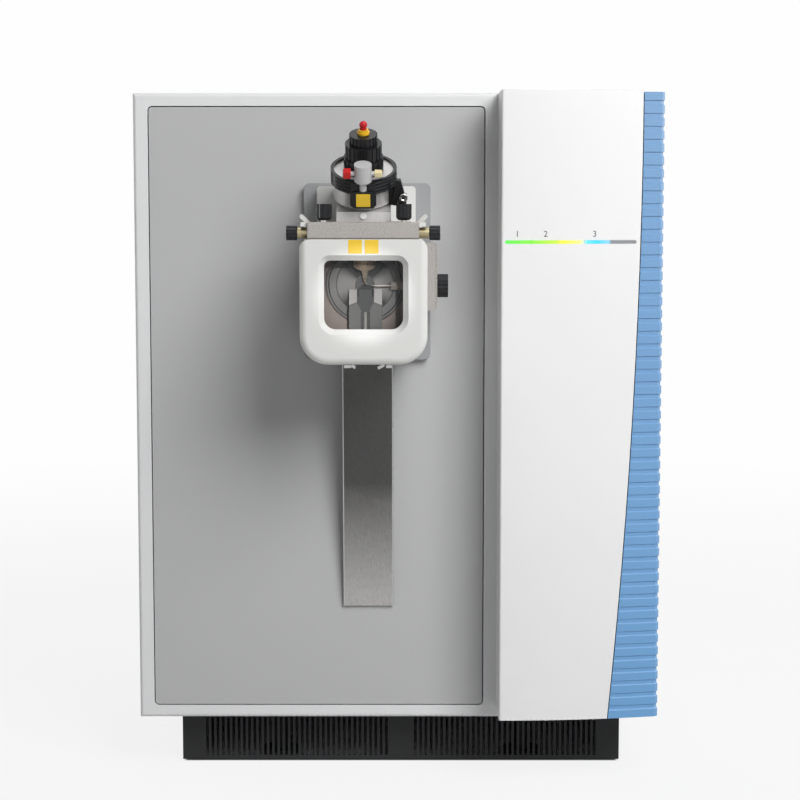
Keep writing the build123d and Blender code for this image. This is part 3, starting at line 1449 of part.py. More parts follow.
def mains_inlet():
    """Flanged inlet with a rectangular cavity and three flat pins."""
    wide, high, deep = INLET_BODY
    body = rear_block_at(INLET_Z, wide, high, deep, 0)
    body += rear_block_at(INLET_Z, INLET_WIDE, INLET_HIGH, 0, MODULE_STAND)
    wide, high, deep = INLET_CAVITY
    body -= rear_block_at(INLET_Z, wide, high, deep - MODULE_STAND, MODULE_STAND + BITE)
    floor_y = REAR_Y + MODULE_STAND - deep
    thick, tall, long = INLET_PIN
    for i in (-1, 0, 1):
        x = INLET_X + i * INLET_PIN_SPACING
        sides = (x - thick / 2, x + thick / 2)
        body += span(*sides, floor_y, floor_y + long, INLET_Z - tall / 2, INLET_Z + tall / 2)
    return body


def switch_housing():
    """Frame of the main switch with the axle of its rocker."""
    body = rear_block_at(SWITCH_Z, SWITCH_WIDE, SWITCH_HIGH, SWITCH_BODY_DEEP, 0)
    rim = 2 * SWITCH_FRAME
    body += rear_block_at(SWITCH_Z, SWITCH_WIDE + rim, SWITCH_HIGH + rim, 0, MODULE_STAND)
    inner_w = SWITCH_WIDE - 2 * SWITCH_FRAME
    inner_h = SWITCH_HIGH - SWITCH_FRAME
    body -= rear_block_at(SWITCH_Z, inner_w, inner_h, SWITCH_BODY_DEEP - SWITCH_FRAME, MODULE_STAND + BITE)
    half = SWITCH_WIDE / 2
    return body + along_x(INLET_X - half, INLET_X + half, REAR_Y - ROCKER_AXLE_IN, SWITCH_Z, ROCKER_AXLE_R)


def switch_rocker():
    """Rocker with a shallow hollow face, pressed in at its lower end."""
    half_w = SWITCH_WIDE / 2 - SWITCH_FRAME - SWITCH_CLEAR
    inner_h = SWITCH_HIGH / 2 - SWITCH_FRAME / 2 - SWITCH_CLEAR
    axle_y = REAR_Y - ROCKER_AXLE_IN
    outline = Circle(inner_h) - Circle(ROCKER_AXLE_R + RUN)
    outline -= Rot(0, 0, ROCKER_TILT) * Pos(ROCKER_FACE + ROCKER_R, 0) * Circle(ROCKER_R)
    placed = Pos(axle_y, SWITCH_Z) * outline
    return extrude(Plane.YZ.offset(INLET_X - half_w) * placed, 2 * half_w)


# ---------------------------------------------------------------- inside the cabinet
def manifold_front_y():
    """Front face of the vacuum chamber, behind the front panel's fold."""
    return BEZEL_Y + BEZEL_DEPTH + MANIFOLD_FRONT_GAP


def vacuum_manifold():
    """Aluminium vacuum chamber, open at the top, on the shelf rails."""
    front_y = manifold_front_y()
    box = span(MANIFOLD_LEFT, MANIFOLD_RIGHT, front_y, MANIFOLD_BACK_Y, SHELF_Z, MANIFOLD_HIGH)
    wall = MANIFOLD_WALL
    box -= span(
        MANIFOLD_LEFT + wall,
        MANIFOLD_RIGHT - wall,
        front_y + wall,
        MANIFOLD_BACK_Y - wall,
        SHELF_Z + wall,
        MANIFOLD_HIGH + BITE,
    )
    box -= along_y(front_y - BITE, front_y + wall + BITE, AXIS_X, AXIS_Z, TUBE_R + RUN)
    return box - along_z(SHELF_Z - BITE, SHELF_Z + wall + BITE, AXIS_X, PUMP_Y, PUMP_BORE_R)


def manifold_lid():
    """Lid plate of the vacuum chamber."""
    top = MANIFOLD_HIGH + LID_THICK
    return span(MANIFOLD_LEFT, MANIFOLD_RIGHT, manifold_front_y(), MANIFOLD_BACK_Y, MANIFOLD_HIGH, top)


def turbo_pump():
    """Turbomolecular pump hung under the vacuum chamber."""
    top = SHELF_Z
    low = top - PUMP_LONG
    profile = [
        (0, low - PUMP_FOOT_LONG),
        (PUMP_FOOT_R, low - PUMP_FOOT_LONG),
        (PUMP_FOOT_R, low),
        (PUMP_R, low),
        (PUMP_R, top - PUMP_FLANGE_THICK),
        (PUMP_FLANGE_R, top - PUMP_FLANGE_THICK),
        (PUMP_FLANGE_R, top),
        (PUMP_BORE_R, top),
        (PUMP_BORE_R, low + PUMP_FLANGE_THICK),
        (0, low + PUMP_FLANGE_THICK),
    ]
    return Pos(AXIS_X, PUMP_Y, 0) * turned(profile)


def rod_places():
    """Centres of the four rods about the ion axis."""
    offset = ROD_CIRCLE_R / math.sqrt(2)
    return [(AXIS_X + sx * offset, AXIS_Z + sz * offset) for sx in (-1, 1) for sz in (-1, 1)]


def quadrupole():
    """Four round rods about the ion axis in two ceramic holders."""
    end_y = ROD_START_Y + ROD_LONG
    rods = [along_y(ROD_START_Y, end_y, x, z, ROD_R) for x, z in rod_places()]
    floor = SHELF_Z + MANIFOLD_WALL
    half = HOLDER_STRUT_HALF
    for y in (ROD_START_Y + HOLDER_INSET, end_y - HOLDER_INSET - HOLDER_THICK):
        back_y = y + HOLDER_THICK
        holder = along_y(y, back_y, AXIS_X, AXIS_Z, HOLDER_OUT_R)
        holder += span(AXIS_X - half, AXIS_X + half, y, back_y, floor, AXIS_Z - ROD_CIRCLE_R - ROD_R)
        for x, z in rod_places():
            holder -= along_y(y - BITE, back_y + BITE, x, z, ROD_R)
        rods.append(holder - along_y(y - BITE, back_y + BITE, AXIS_X, AXIS_Z, ROD_CIRCLE_R / 2))
    return Compound(children=rods)


def analyser():
    """Outer electrode on its foot, and the spindle that its end plate carries."""
    start = ROD_START_Y + ROD_LONG + CELL_GAP
    middle = start + CELL_LONG / 2
    end_y = start + CELL_LONG
    barrel = along_y(start, end_y, AXIS_X, AXIS_Z, CELL_R)
    barrel -= along_y(start - BITE, end_y, AXIS_X, AXIS_Z, CELL_BORE_R)
    floor = SHELF_Z + MANIFOLD_WALL
    half = HOLDER_STRUT_HALF
    top = AXIS_Z - (CELL_R + CELL_BORE_R) / 2
    barrel += span(AXIS_X - half, AXIS_X + half, middle - HOLDER_THICK, middle + HOLDER_THICK, floor, top)
    plate = along_y(end_y, end_y + HOLDER_THICK / 2, AXIS_X, AXIS_Z, CELL_R)
    spindle = along_y(start + SPINDLE_INSET, end_y - SPINDLE_INSET, AXIS_X, AXIS_Z, SPINDLE_R)
    spindle += along_y(start, end_y, AXIS_X, AXIS_Z, SPINDLE_END_R)
    return Compound(children=[barrel + plate, spindle])


def electronics():
    """Power-supply box and upright circuit boards, each with a module, on the tray."""
    wide, deep, high = SUPPLY_SIZE
    box = Pos(SUPPLY_EDGE - HALF + wide / 2, SUPPLY_Y, TRAY_TOP + high / 2) * Box(wide, deep, high)
    pieces = [box]
    thick, tall, long = CHIP
    middle = TRAY_TOP + CARD_HIGH / 2
    for i in range(CARD_COUNT):
        x = HALF - CARD_EDGE + i * CARD_PITCH
        face = x + CARD_THICK
        ends = (CARD_Y - CARD_DEEP / 2, CARD_Y + CARD_DEEP / 2)
        board = span(x, face, *ends, TRAY_TOP, TRAY_TOP + CARD_HIGH)
        board += span(face, face + thick, CARD_Y - long, CARD_Y + long, middle - tall, middle + tall)
        pieces.append(board)
    return Compound(children=pieces)


# ---------------------------------------------------------------- build
NODES = {
    "plinth": plinth,
    "levelling_feet": levelling_feet,
    "base_tray": base_tray,
    "chassis_frame": chassis_frame,
    "left_side_panel": lambda: side_panel(-1),
    "right_side_panel": lambda: side_panel(1),
    "top_cover": top_cover,
    "front_bezel": front_bezel,
    "front_panel": front_panel,
    "service_cover": service_cover,
    "ribbed_trim": ribbed_trim,
    "status_light_bar": status_light_bar,
    "source_flange": source_flange,
    "sweep_cone": sweep_cone,
    "ion_transfer_tube": ion_transfer_tube,
    "drain_channel": drain_channel,
    "source_housing": source_housing,
    "front_cover": front_cover,
    "window_glass": window_glass,
    "crossbar": crossbar,
    "rear_block": rear_block,
    "latch_lever_left": lambda: latch_lever(-1),
    "latch_lever_right": lambda: latch_lever(1),
    "thumbscrew_left": lambda: thumbscrew(pull_places()[0]),
    "thumbscrew_right": lambda: thumbscrew(pull_places()[1]),
    "side_studs": side_studs,
    "side_knob_left": lambda: side_knob(-1),
    "side_knob_right": lambda: side_knob(1),
    "side_plate": side_plate,
    "discharge_needle": discharge_needle,
    "needle_knob": needle_knob,
    "drain_block": drain_block,
    "probe_port": probe_port,
    "spray_probe": spray_probe,
    "lock_ring": lock_ring,
    "probe_low_ring": probe_low_ring,
    "probe_mid_knob": probe_mid_knob,
    "probe_top_knob": probe_top_knob,
    "yellow_collar": yellow_collar,
    "red_cap": red_cap,
    "gas_union": union_body,
    "line_fittings": line_fittings,
    "union_bracket": union_bracket,
    "clamp_lug": clamp_lug,
    "clamp_lever": clamp_lever,
    "clamp_screw": clamp_screw,
    "rear_panel": rear_panel,
    "fan_frames": fan_frames,
    "fan_rotor_left": lambda: fan_rotor(FAN_X[0]),
    "fan_rotor_right": lambda: fan_rotor(FAN_X[1]),
    "vacuum_ports": vacuum_ports,
    "gas_ports": gas_ports,
    "inlet_module": inlet_module,
    "switch_rocker": switch_rocker,
    "vacuum_manifold": vacuum_manifold,
    "manifold_lid": manifold_lid,
    "turbo_pump": turbo_pump,
    "quadrupole": quadrupole,
    "analyser": analyser,
    "electronics": electronics,
}

os.makedirs("parts", exist_ok=True)
for name, make in NODES.items():
    export_step(make(), f"parts/{name}.step")
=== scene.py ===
import math

import bmesh
import bpy
from mathutils import Matrix, Vector


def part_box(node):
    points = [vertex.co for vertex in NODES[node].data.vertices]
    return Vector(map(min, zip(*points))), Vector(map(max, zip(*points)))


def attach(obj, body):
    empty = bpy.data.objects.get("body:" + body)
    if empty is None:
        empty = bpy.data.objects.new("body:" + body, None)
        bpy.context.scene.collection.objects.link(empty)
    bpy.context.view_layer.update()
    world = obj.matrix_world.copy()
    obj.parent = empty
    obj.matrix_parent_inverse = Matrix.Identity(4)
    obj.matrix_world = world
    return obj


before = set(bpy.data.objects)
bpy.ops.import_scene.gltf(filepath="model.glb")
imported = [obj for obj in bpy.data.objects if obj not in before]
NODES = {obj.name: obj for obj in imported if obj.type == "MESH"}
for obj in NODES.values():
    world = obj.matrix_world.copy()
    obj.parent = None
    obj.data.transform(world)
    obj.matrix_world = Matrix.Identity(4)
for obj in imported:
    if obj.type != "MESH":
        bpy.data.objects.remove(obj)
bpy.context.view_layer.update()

# Bench-top mass spectrometer: finishes, small details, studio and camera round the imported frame.
# Metres. The front of the machine faces -Y.

# ---- the photograph's camera
IMAGE = 800.0
FOCAL_PIXELS = 2000.0
SENSOR = 36.0
CAMERA_AT = (0.0043, -2.256, 0.5923)
CAMERA_PITCH = 5.7

# ---- boxes of the CAD nodes
BEZEL_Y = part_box("front_bezel")[0][1]
COVER_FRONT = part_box("front_cover")[0][1]
CROSSBAR_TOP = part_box("crossbar")[1][2]
LIGHT_LOW, LIGHT_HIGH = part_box("status_light_bar")
DRAIN_LOW, DRAIN_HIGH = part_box("drain_channel")
DRAIN_X = (DRAIN_LOW[0] + DRAIN_HIGH[0]) / 2
DRAIN_HALF = (DRAIN_HIGH[0] - DRAIN_LOW[0]) / 2
CONE_LOW, CONE_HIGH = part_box("sweep_cone")
CONE_X = (CONE_LOW[0] + CONE_HIGH[0]) / 2
CONE_Z = (CONE_LOW[2] + CONE_HIGH[2]) / 2
BLOCK_LOW, BLOCK_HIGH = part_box("drain_block")
BLOCK_X = (BLOCK_LOW[0] + BLOCK_HIGH[0]) / 2
BLOCK_FACE_Y = BLOCK_LOW[1]

# ---- places that the CAD source gives
COVER_MIDDLE = -0.030
PROBE_TIP = Vector((-0.0306, -0.265, 0.5105))
PROBE_TILT = math.radians(27.0)
MODULE_FRONT = BEZEL_Y - 0.066
MODULE_LEFT = 0.1035
FACE_BOW_R = 0.75
KNOB_RISE = 0.0018  # bare stud under an upright knob
CONE_MOUTH_R = 0.0102
CONE_STEP_R = 0.028
CONE_LINE_R = 0.0366
CONE_MARKS = 9000.0  # radians of the turning marks per metre of radius
BLOCK_TOP = 0.5044
FACET_Z = 0.4860
INSERT_R = 0.0081
INSERT_FOOT_Z = 0.4822
ROD_R = 0.0016
PORT_FACE_Y = -0.3333
PIN_TOP_Z = 0.5806
BARREL_FOOT_Z = 0.600
DRAIN_UNSHADED = 0.012  # length at the channel's foot left out of the painted shade
DRAIN_SHADE_FADE = 0.118  # length over which the painted shade deepens above that

# ---- small pieces
PLATE_SIZE = 0.0129
PLATE_SPACING = 0.0155
PLATE_Z = 0.5491
BRACKET_PLATE_SIZE = 0.0134
BRACKET_PLATE_AT = (0, -0.041, 0.1125)  # in the probe's frame
PLATE_THICK = 0.0003
PLATE_CORNER = 0.0006
# from the channel's left edge, width, lean in degrees
DRAIN_CLIPS = (
    (0.0056, 0.0074, 0),
    (0.0115, 0.0046, 35),
    (0.0392, 0.0074, -30),
    (0.0471, 0.0060, 0),
)
CLIP_HIGH = 0.0030
CLIP_THICK = 0.0008
CLIP_DROP = 0.0037
CLIP_SUNK = 0.0003
SPRING_AT = (0.0384, -0.0211, 0.1070)  # in the probe's frame, on the lever's face
NUMBERS = (("1", 0.1195), ("2", 0.1475), ("3", 0.1960))
NUMBER_SIZE = 0.0085
NUMBER_HALF_THICK = 0.00008
NUMBER_PROUD = 0.0001
NUMBER_GAP = 0.0035

# ---- shared looks
BLACK = (0.013, 0.0135, 0.015)
BLACK_GLOSS = 0.22
BACKDROP = (0.99, 0.99, 0.99, 1)

# ---- floor
FLOOR_SIZE = 30.0
FLOOR_WHITE = 0.86  # share of plain white near the object
FLOOR_NEAR = 0.8
FLOOR_FAR = 2.4  # plain white from here on
PLINTH_EDGE = 0.004


# ---------------------------------------------------------------- nodes
def joined(tree, operation, one, other):
    """Two values through a math node."""
    node = tree.nodes.new("ShaderNodeMath")
    node.operation = operation
    tree.links.new(one, node.inputs[0])
    tree.links.new(other, node.inputs[1])
    return node.outputs[0]


def blended(tree, share, one, other):
    """One shader turning into another by a share."""
    mix = tree.nodes.new("ShaderNodeMixShader")
    for output, target in zip((share, one, other), mix.inputs):
        tree.links.new(output, target)
    return mix.outputs[0]


def seen_white(tree, shaded, white, share=None):
    """Mixes plain white over a shader where a camera, glossy or transmission ray meets it."""
    path = tree.nodes.new("ShaderNodeLightPath")
    seen = path.outputs["Is Camera Ray"]
    for kind in ("Is Glossy Ray", "Is Transmission Ray"):
        seen = joined(tree, "MAXIMUM", seen, path.outputs[kind])
    if share:
        seen = joined(tree, "MULTIPLY", seen, share)
    return blended(tree, seen, shaded, white)


class Finish:
    """A procedural material in object coordinates, built on one Principled shader."""

    def __init__(self, name, colour, roughness, metallic=0.0):
        self.material = bpy.data.materials.new(name)
        self.material.use_nodes = True
        self.tree = self.material.node_tree
        self.shader = self.tree.nodes["Principled BSDF"]
        self.colour = (*colour, 1.0)
        self.shader.inputs["Base Color"].default_value = self.colour
        self.shader.inputs["Roughness"].default_value = roughness
        self.shader.inputs["Metallic"].default_value = metallic
        self.tinted = None
        self.normal = None

    def add(self, kind, **values):
        """Adds a shader node and sets its properties."""
        node = self.tree.nodes.new(kind)
        for key, value in values.items():
            setattr(node, key, value)
        return node

    def link(self, output, target):
        """Joins an output to an input."""
        self.tree.links.new(output, target)

    def coords(self, stretch=(1, 1, 1), move=(0, 0, 0)):
        """Object coordinates, stretched so that detail runs along an axis."""
        source = self.add("ShaderNodeTexCoord").outputs["Object"]
        mapping = self.add("ShaderNodeMapping")
        mapping.inputs["Location"].default_value = move
        mapping.inputs["Scale"].default_value = stretch
        self.link(source, mapping.inputs["Vector"])
        return mapping.outputs["Vector"]

    def noise(self, scale, detail=3.0, **coords):
        """Noise of that many features per metre."""
        noise = self.add("ShaderNodeTexNoise")
        noise.inputs["Scale"].default_value = scale
        noise.inputs["Detail"].default_value = detail
        self.link(self.coords(**coords), noise.inputs["Vector"])
        return noise.outputs["Fac"]

    def axis(self, name, vector=None):
        """One coordinate of a vector, or of the object coordinates."""
        vector = vector or self.add("ShaderNodeTexCoord").outputs["Object"]
        split = self.add("ShaderNodeSeparateXYZ")
        self.link(vector, split.inputs["Vector"])
        return split.outputs[name]

    def vector(self, operation, value, result="Vector"):
        """A vector through a vector math node."""
        node = self.add("ShaderNodeVectorMath", operation=operation)
        self.link(value, node.inputs[0])
        return node.outputs[result]

    def calc(self, operation, value, number=None):
        """A value through a math node, with a number where the operation takes one."""
        node = self.add("ShaderNodeMath", operation=operation)
        self.link(value, node.inputs[0])
        if number is not None:
            node.inputs[1].default_value = number
        return node.outputs[0]

    def away(self, value, middle):
        """Distance of a value from a middle."""
        return self.calc("ABSOLUTE", self.calc("SUBTRACT", value, middle))

    def product(self, one, other):
        """Two values multiplied."""
        return joined(self.tree, "MULTIPLY", one, other)

    def spread(self, value, low, high, start=0.35, end=0.65):
        """A value between start and end, spread over low to high."""
        spread = self.add("ShaderNodeMapRange")
        names = ("From Min", "From Max", "To Min", "To Max")
        for key, number in zip(names, (start, end, low, high)):
            spread.inputs[key].default_value = number
        self.link(value, spread.inputs["Value"])
        return spread.outputs["Result"]

    def above(self, value, edge, soft=0.0003, most=1.0):
        """Nought below an edge, rising to the most within a soft width above it."""
        return self.spread(value, 0.0, most, edge, edge + soft)

    def below(self, value, edge, soft=0.0003):
        """Nought above an edge, rising to one within a soft width below it."""
        return self.spread(value, 1.0, 0.0, edge - soft, edge)

    def tint(self, amount, colour):
        """Mixes another colour over the base by a varying amount."""
        mix = self.add("ShaderNodeMix", data_type="RGBA")
        mix.inputs["A"].default_value = self.colour
        mix.inputs["B"].default_value = (*colour, 1.0)
        if self.tinted:
            self.link(self.tinted, mix.inputs["A"])
        self.link(amount, mix.inputs["Factor"])
        self.tinted = mix.outputs["Result"]
        self.link(self.tinted, self.shader.inputs["Base Color"])
        return self

    def rough(self, value, low, high):
        """Roughness between low and high by a noise value."""
        self.link(self.spread(value, low, high), self.shader.inputs["Roughness"])
        return self

    def bump(self, height, depth, strength=1.0):
        """Raises the surface by a height value, depth in metres."""
        bump = self.add("ShaderNodeBump")
        bump.inputs["Strength"].default_value = strength
        bump.inputs["Distance"].default_value = depth
        self.link(height, bump.inputs["Height"])
        if self.normal:
            self.link(self.normal, bump.inputs["Normal"])
        self.normal = bump.outputs["Normal"]
        self.link(self.normal, self.shader.inputs["Normal"])
        return self

    def sets(self, **values):
        """Sets more sockets of the shader by name, with spaces as underscores."""
        for key, value in values.items():
            self.shader.inputs[key.replace("_", " ")].default_value = value
        return self

    def gloss(self, level):
        """Strength of the shader's own reflection."""
        return self.sets(Specular_IOR_Level=level)

    def paint(self, *names):
        """Gives the finish to CAD nodes."""
        for name in names:
            slots = NODES[name].data.materials
            slots.clear()
            slots.append(self.material)
        return self


# ---------------------------------------------------------------- kinds of finish
def darker(colour, share):
    """A colour at a share of its brightness."""
    return tuple(channel * share for channel in colour)


def moulded(name, colour, roughness=0.42, grain=1500.0):
    """Moulded plastic: a fine spark-eroded grain and a slight drift of tone."""
    finish = Finish(name, colour, roughness)
    fine = finish.noise(grain, 2.0)
    finish.tint(finish.spread(finish.noise(5.0), 0.0, 1.0, 0.3, 0.7), darker(colour, 0.965))
    finish.rough(fine, roughness - 0.06, roughness + 0.06)
    return finish.bump(fine, 0.00003, 0.25)


def painted(name, colour, roughness=0.45):
    """Sprayed paint with orange peel."""
    finish = Finish(name, colour, roughness)
    peel = finish.noise(420.0, 1.0)
    finish.tint(finish.spread(finish.noise(7.0), 0.0, 1.0, 0.3, 0.7), darker(colour, 0.96))
    finish.rough(finish.noise(40.0), roughness - 0.05, roughness + 0.05)
    return finish.bump(peel, 0.00002, 0.3)


def metallic(name, colour, roughness=0.3, grain=900.0, **coords):
    """Bare metal with fine marks, run along an axis where stretched."""
    finish = Finish(name, colour, roughness, 1.0)
    marks = finish.noise(grain, 4.0, **coords)
    finish.tint(finish.spread(marks, 0.0, 1.0), darker(colour, 0.80))
    finish.rough(finish.noise(grain / 3, 2.0, **coords), roughness - 0.08, roughness + 0.10)
    return finish.bump(marks, 0.00002, 0.2)


def satin(name, colour, roughness=0.34, metal=0.35, **coords):
    """Fine-ground or lightly blasted metal that scatters much of its light."""
    grain = 2500.0
    finish = Finish(name, colour, roughness, metal)
    marks = finish.noise(grain, 2.0, **coords)
    finish.tint(finish.spread(marks, 0.0, 1.0), darker(colour, 0.90))
    finish.rough(finish.noise(grain / 4, 2.0, **coords), roughness - 0.05, roughness + 0.07)
    return finish.bump(marks, 0.000004, 0.1)


def blasted(name, colour):
    """Bead-blasted aluminium: a coarse sparkling grain."""
    finish = Finish(name, colour, 0.5, 0.35)
    grain = finish.noise(900.0, 5.0)
    finish.tint(finish.spread(grain, 0.0, 1.0, 0.38, 0.62), darker(colour, 0.62))
    finish.tint(finish.spread(finish.noise(60.0), 0.0, 0.5), darker(colour, 0.86))
    finish.rough(grain, 0.42, 0.62)
    return finish.bump(grain, 0.00008, 0.5)


# ---------------------------------------------------------------- finishes of the CAD nodes
def cabinet_finishes():
    """The housing, its module, plinth and what shows at its rear."""
    moulded("bezel_white", (0.75, 0.755, 0.76), 0.5).paint("front_bezel")
    moulded("module_white", (0.80, 0.80, 0.80), 0.45).paint("service_cover")
    painted("cabinet_white", (0.78, 0.785, 0.78)).paint(
        "top_cover", "left_side_panel", "right_side_panel", "rear_panel"
    )
    silver_paint().paint("front_panel")
    rib_blue().paint("ribbed_trim")
    status_lights().paint("status_light_bar")
    moulded("plinth_black", (0.014, 0.0145, 0.0155), 0.6, 900.0).gloss(0.3).paint("plinth")
    moulded("foot_rubber", BLACK, 0.7, 700.0).paint("levelling_feet")
    moulded("fan_black", BLACK, 0.5).paint("fan_frames", "fan_rotor_left", "fan_rotor_right")
    moulded("inlet_black", BLACK, 0.45).paint("inlet_module", "switch_rocker")
    satin("stub_steel", (0.50, 0.50, 0.49), 0.3, 0.6).paint("vacuum_ports")


def source_finishes():
    """The ion source and its probe, and the rear gas ports, which are brass too."""
    moulded("source_white", (0.68, 0.68, 0.658), 0.36, 1800.0).paint("front_cover")
    painted("block_white", (0.72, 0.72, 0.705), 0.4).paint("rear_block")
    clear_pane().paint("window_glass")
    blasted("blasted_aluminium", (0.43, 0.405, 0.385)).paint("crossbar", "side_plate")
    satin("chamber_aluminium", (0.31, 0.245, 0.215), 0.5, 0.1).paint("source_housing")
    block_steel().paint("drain_block")
    port_aluminium().paint("probe_port")
    probe_brass().paint("spray_probe")
    satin("union_aluminium", (0.50, 0.50, 0.505), 0.45, 0.25).paint("gas_union")
    line_plastic().paint("line_fittings")
    metallic("polished_steel", (0.60, 0.59, 0.58), 0.2, 2500.0).paint("clamp_screw")
    needle = satin("needle_steel", (0.80, 0.74, 0.65), 0.38, 0.4, stretch=(0.1, 1, 1))
    needle.paint("discharge_needle")
    brass = metallic("stud_brass", (0.42, 0.36, 0.22), 0.3, 700.0, stretch=(0.2, 1, 1))
    brass.paint("side_studs", "gas_ports")
    lever = metallic("lever_grey", (0.60, 0.59, 0.57), 0.4, 800.0)
    lever.paint("latch_lever_left", "latch_lever_right")
    moulded("knob_black", BLACK, 0.26).gloss(BLACK_GLOSS).paint(
        "side_knob_left", "side_knob_right", "needle_knob",
        "probe_low_ring", "probe_mid_knob", "probe_top_knob", "lock_ring",
    )
    bracket = moulded("bracket_black", BLACK, 0.34).gloss(BLACK_GLOSS)
    bracket.paint("union_bracket", "clamp_lug", "clamp_lever")
    knob_on_stud().paint("thumbscrew_left", "thumbscrew_right")
    moulded("collar_yellow", (0.78, 0.47, 0.02), 0.3).paint("yellow_collar")
    moulded("cap_red", (0.50, 0.008, 0.012), 0.24).gloss(0.25).paint("red_cap")


def mount_finishes():
    """What stays on the cabinet when the source is drawn off."""
    painted("flange_grey", (0.315, 0.32, 0.325), 0.42).paint("source_flange")
    turned_steel().paint("sweep_cone")
    satin("tube_steel", (0.22, 0.215, 0.21), 0.55, 0.0).gloss(0.2).paint("ion_transfer_tube")
    drain_steel().paint("drain_channel")


def inside_finishes():
    """The frame, the vacuum chamber and the electronics."""
    colour = (0.60, 0.59, 0.575)
    machined = metallic("machined_aluminium", colour, 0.36, 500.0, stretch=(1, 1, 0.15))
    machined.paint("vacuum_manifold", "manifold_lid", "turbo_pump")
    painted("chassis_grey", (0.12, 0.125, 0.13), 0.5).paint("chassis_frame")
    metallic("zinc_sheet", (0.50, 0.51, 0.52), 0.4, 60.0).paint("base_tray")
    metallic("electrode_steel", (0.60, 0.59, 0.56), 0.25).paint("quadrupole", "analyser")
    moulded("board_green", (0.03, 0.11, 0.05), 0.45).paint("electronics")


def silver_paint():
    """Silver paint with a fine flake."""
    colour = (0.50, 0.502, 0.507)
    finish = Finish("panel_silver", colour, 0.5)
    flake = finish.noise(2600.0, 1.0)
    finish.tint(finish.spread(flake, 0.0, 1.0), darker(colour, 0.93))
    finish.tint(finish.spread(finish.noise(4.0), 0.0, 1.0), darker(colour, 0.97))
    finish.rough(finish.noise(300.0), 0.48, 0.58)
    return finish.bump(flake, 0.00001, 0.2).gloss(0.2)


def rib_blue():
    """Blue moulding, a little greyer towards the top."""
    low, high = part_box("ribbed_trim")
    finish = moulded("trim_blue", (0.143, 0.340, 0.620), 0.4)
    rise = finish.spread(finish.axis("Z"), 0.0, 1.0, low[2], high[2])
    return finish.tint(rise, (0.165, 0.310, 0.520))


def knob_on_stud():
    """Black knob above, bare steel stud below it."""
    finish = moulded("knob_black_on_steel", BLACK, 0.26)
    stud = finish.below(finish.axis("Z"), CROSSBAR_TOP + KNOB_RISE, 0.0001)
    finish.tint(stud, (0.55, 0.54, 0.52))
    finish.link(stud, finish.shader.inputs["Metallic"])
    return finish.gloss(BLACK_GLOSS)


def status_lights():
    """Light pipe: green, yellow and blue stretches that glow, then a grey one."""
    finish = moulded("light_pipe", (0.45, 0.46, 0.47), 0.3)
    ramp = finish.add("ShaderNodeValToRGB")
    stops = [
        (0.00, (0.10, 0.62, 0.08)),
        (0.20, (0.18, 0.72, 0.05)),
        (0.38, (0.42, 0.70, 0.05)),
        (0.45, (0.75, 0.74, 0.06)),
        (0.57, (0.80, 0.70, 0.20)),
        (0.62, (0.10, 0.55, 0.78)),
        (0.70, (0.03, 0.48, 0.85)),
        (0.79, (0.20, 0.45, 0.60)),
        (0.81, (0.17, 0.175, 0.185)),
    ]
    elements = ramp.color_ramp.elements
    for place, colour in stops:
        elements.new(place).color = (*colour, 1.0)
    for end in (0, -1):
        elements[end].color = (*stops[end][1], 1.0)
    along = finish.spread(finish.axis("X"), 0.0, 1.0, LIGHT_LOW[0], LIGHT_HIGH[0])
    finish.link(along, ramp.inputs["Fac"])
    for socket in ("Base Color", "Emission Color"):
        finish.link(ramp.outputs["Color"], finish.shader.inputs[socket])
    return finish.sets(Emission_Strength=0.55)


def turned_steel():
    """Turned steel: fine rings about the inlet's axis, with a painted highlight of two pale fans at
    its sides.
    """
    finish = Finish("turned_steel", (0.085, 0.083, 0.081), 0.5)
    from_axis = finish.coords(stretch=(1, 0, 1), move=(-CONE_X, 0, -CONE_Z))
    radius = finish.vector("LENGTH", from_axis, "Value")
    sideways = finish.calc("ABSOLUTE", finish.axis("X", finish.vector("NORMALIZE", from_axis)))
    # Painted highlight: two pale fans left and right of the axis.
    finish.tint(finish.spread(sideways, 0.0, 1.0, 0.72, 0.96), (0.50, 0.49, 0.475))
    finish.tint(finish.below(radius, CONE_MOUTH_R, 0.0006), (0.10, 0.098, 0.096))
    finish.tint(finish.above(radius, CONE_STEP_R, 0.0006, 0.85), (0.24, 0.237, 0.233))
    beyond = finish.above(radius, CONE_LINE_R - 0.0005)
    within = finish.below(radius, CONE_LINE_R + 0.0006)
    finish.tint(finish.product(beyond, within), (0.03, 0.03, 0.03))
    rings = finish.calc("SINE", finish.calc("MULTIPLY", radius, CONE_MARKS))
    finish.rough(finish.noise(500.0), 0.45, 0.55)
    return finish.bump(rings, 0.00001, 0.25).gloss(0.3)


def block_steel():
    """Ground steel block: a painted highlight on the facets at its top corners, a dark insert and a
    rod between.
    """
    finish = satin("block_steel", (0.19, 0.19, 0.186), 0.5, 0.0)
    off = finish.away(finish.axis("X"), BLOCK_X)
    up = finish.axis("Z")
    set_back = finish.above(finish.axis("Y"), BLOCK_FACE_Y + 0.0002, 0.0002)
    # Painted highlight: the set-back facets at the top corners turn pale, as if catching the light.
    high = finish.product(set_back, finish.above(up, FACET_Z))
    beside = finish.above(off, INSERT_R)
    finish.tint(finish.product(high, beside), (0.80, 0.79, 0.77))
    sunk = finish.above(finish.axis("Y"), BLOCK_FACE_Y + 0.0010, 0.0002)
    near = finish.below(off, INSERT_R + 0.0005)
    finish.tint(finish.product(sunk, near), (0.075, 0.075, 0.075))
    rod = finish.product(finish.below(off, ROD_R, 0.0002), finish.below(up, INSERT_FOOT_Z))
    finish.tint(rod, (0.46, 0.44, 0.41))
    return finish.tint(finish.above(up, BLOCK_TOP), (0.012, 0.012, 0.012)).gloss(0.25)


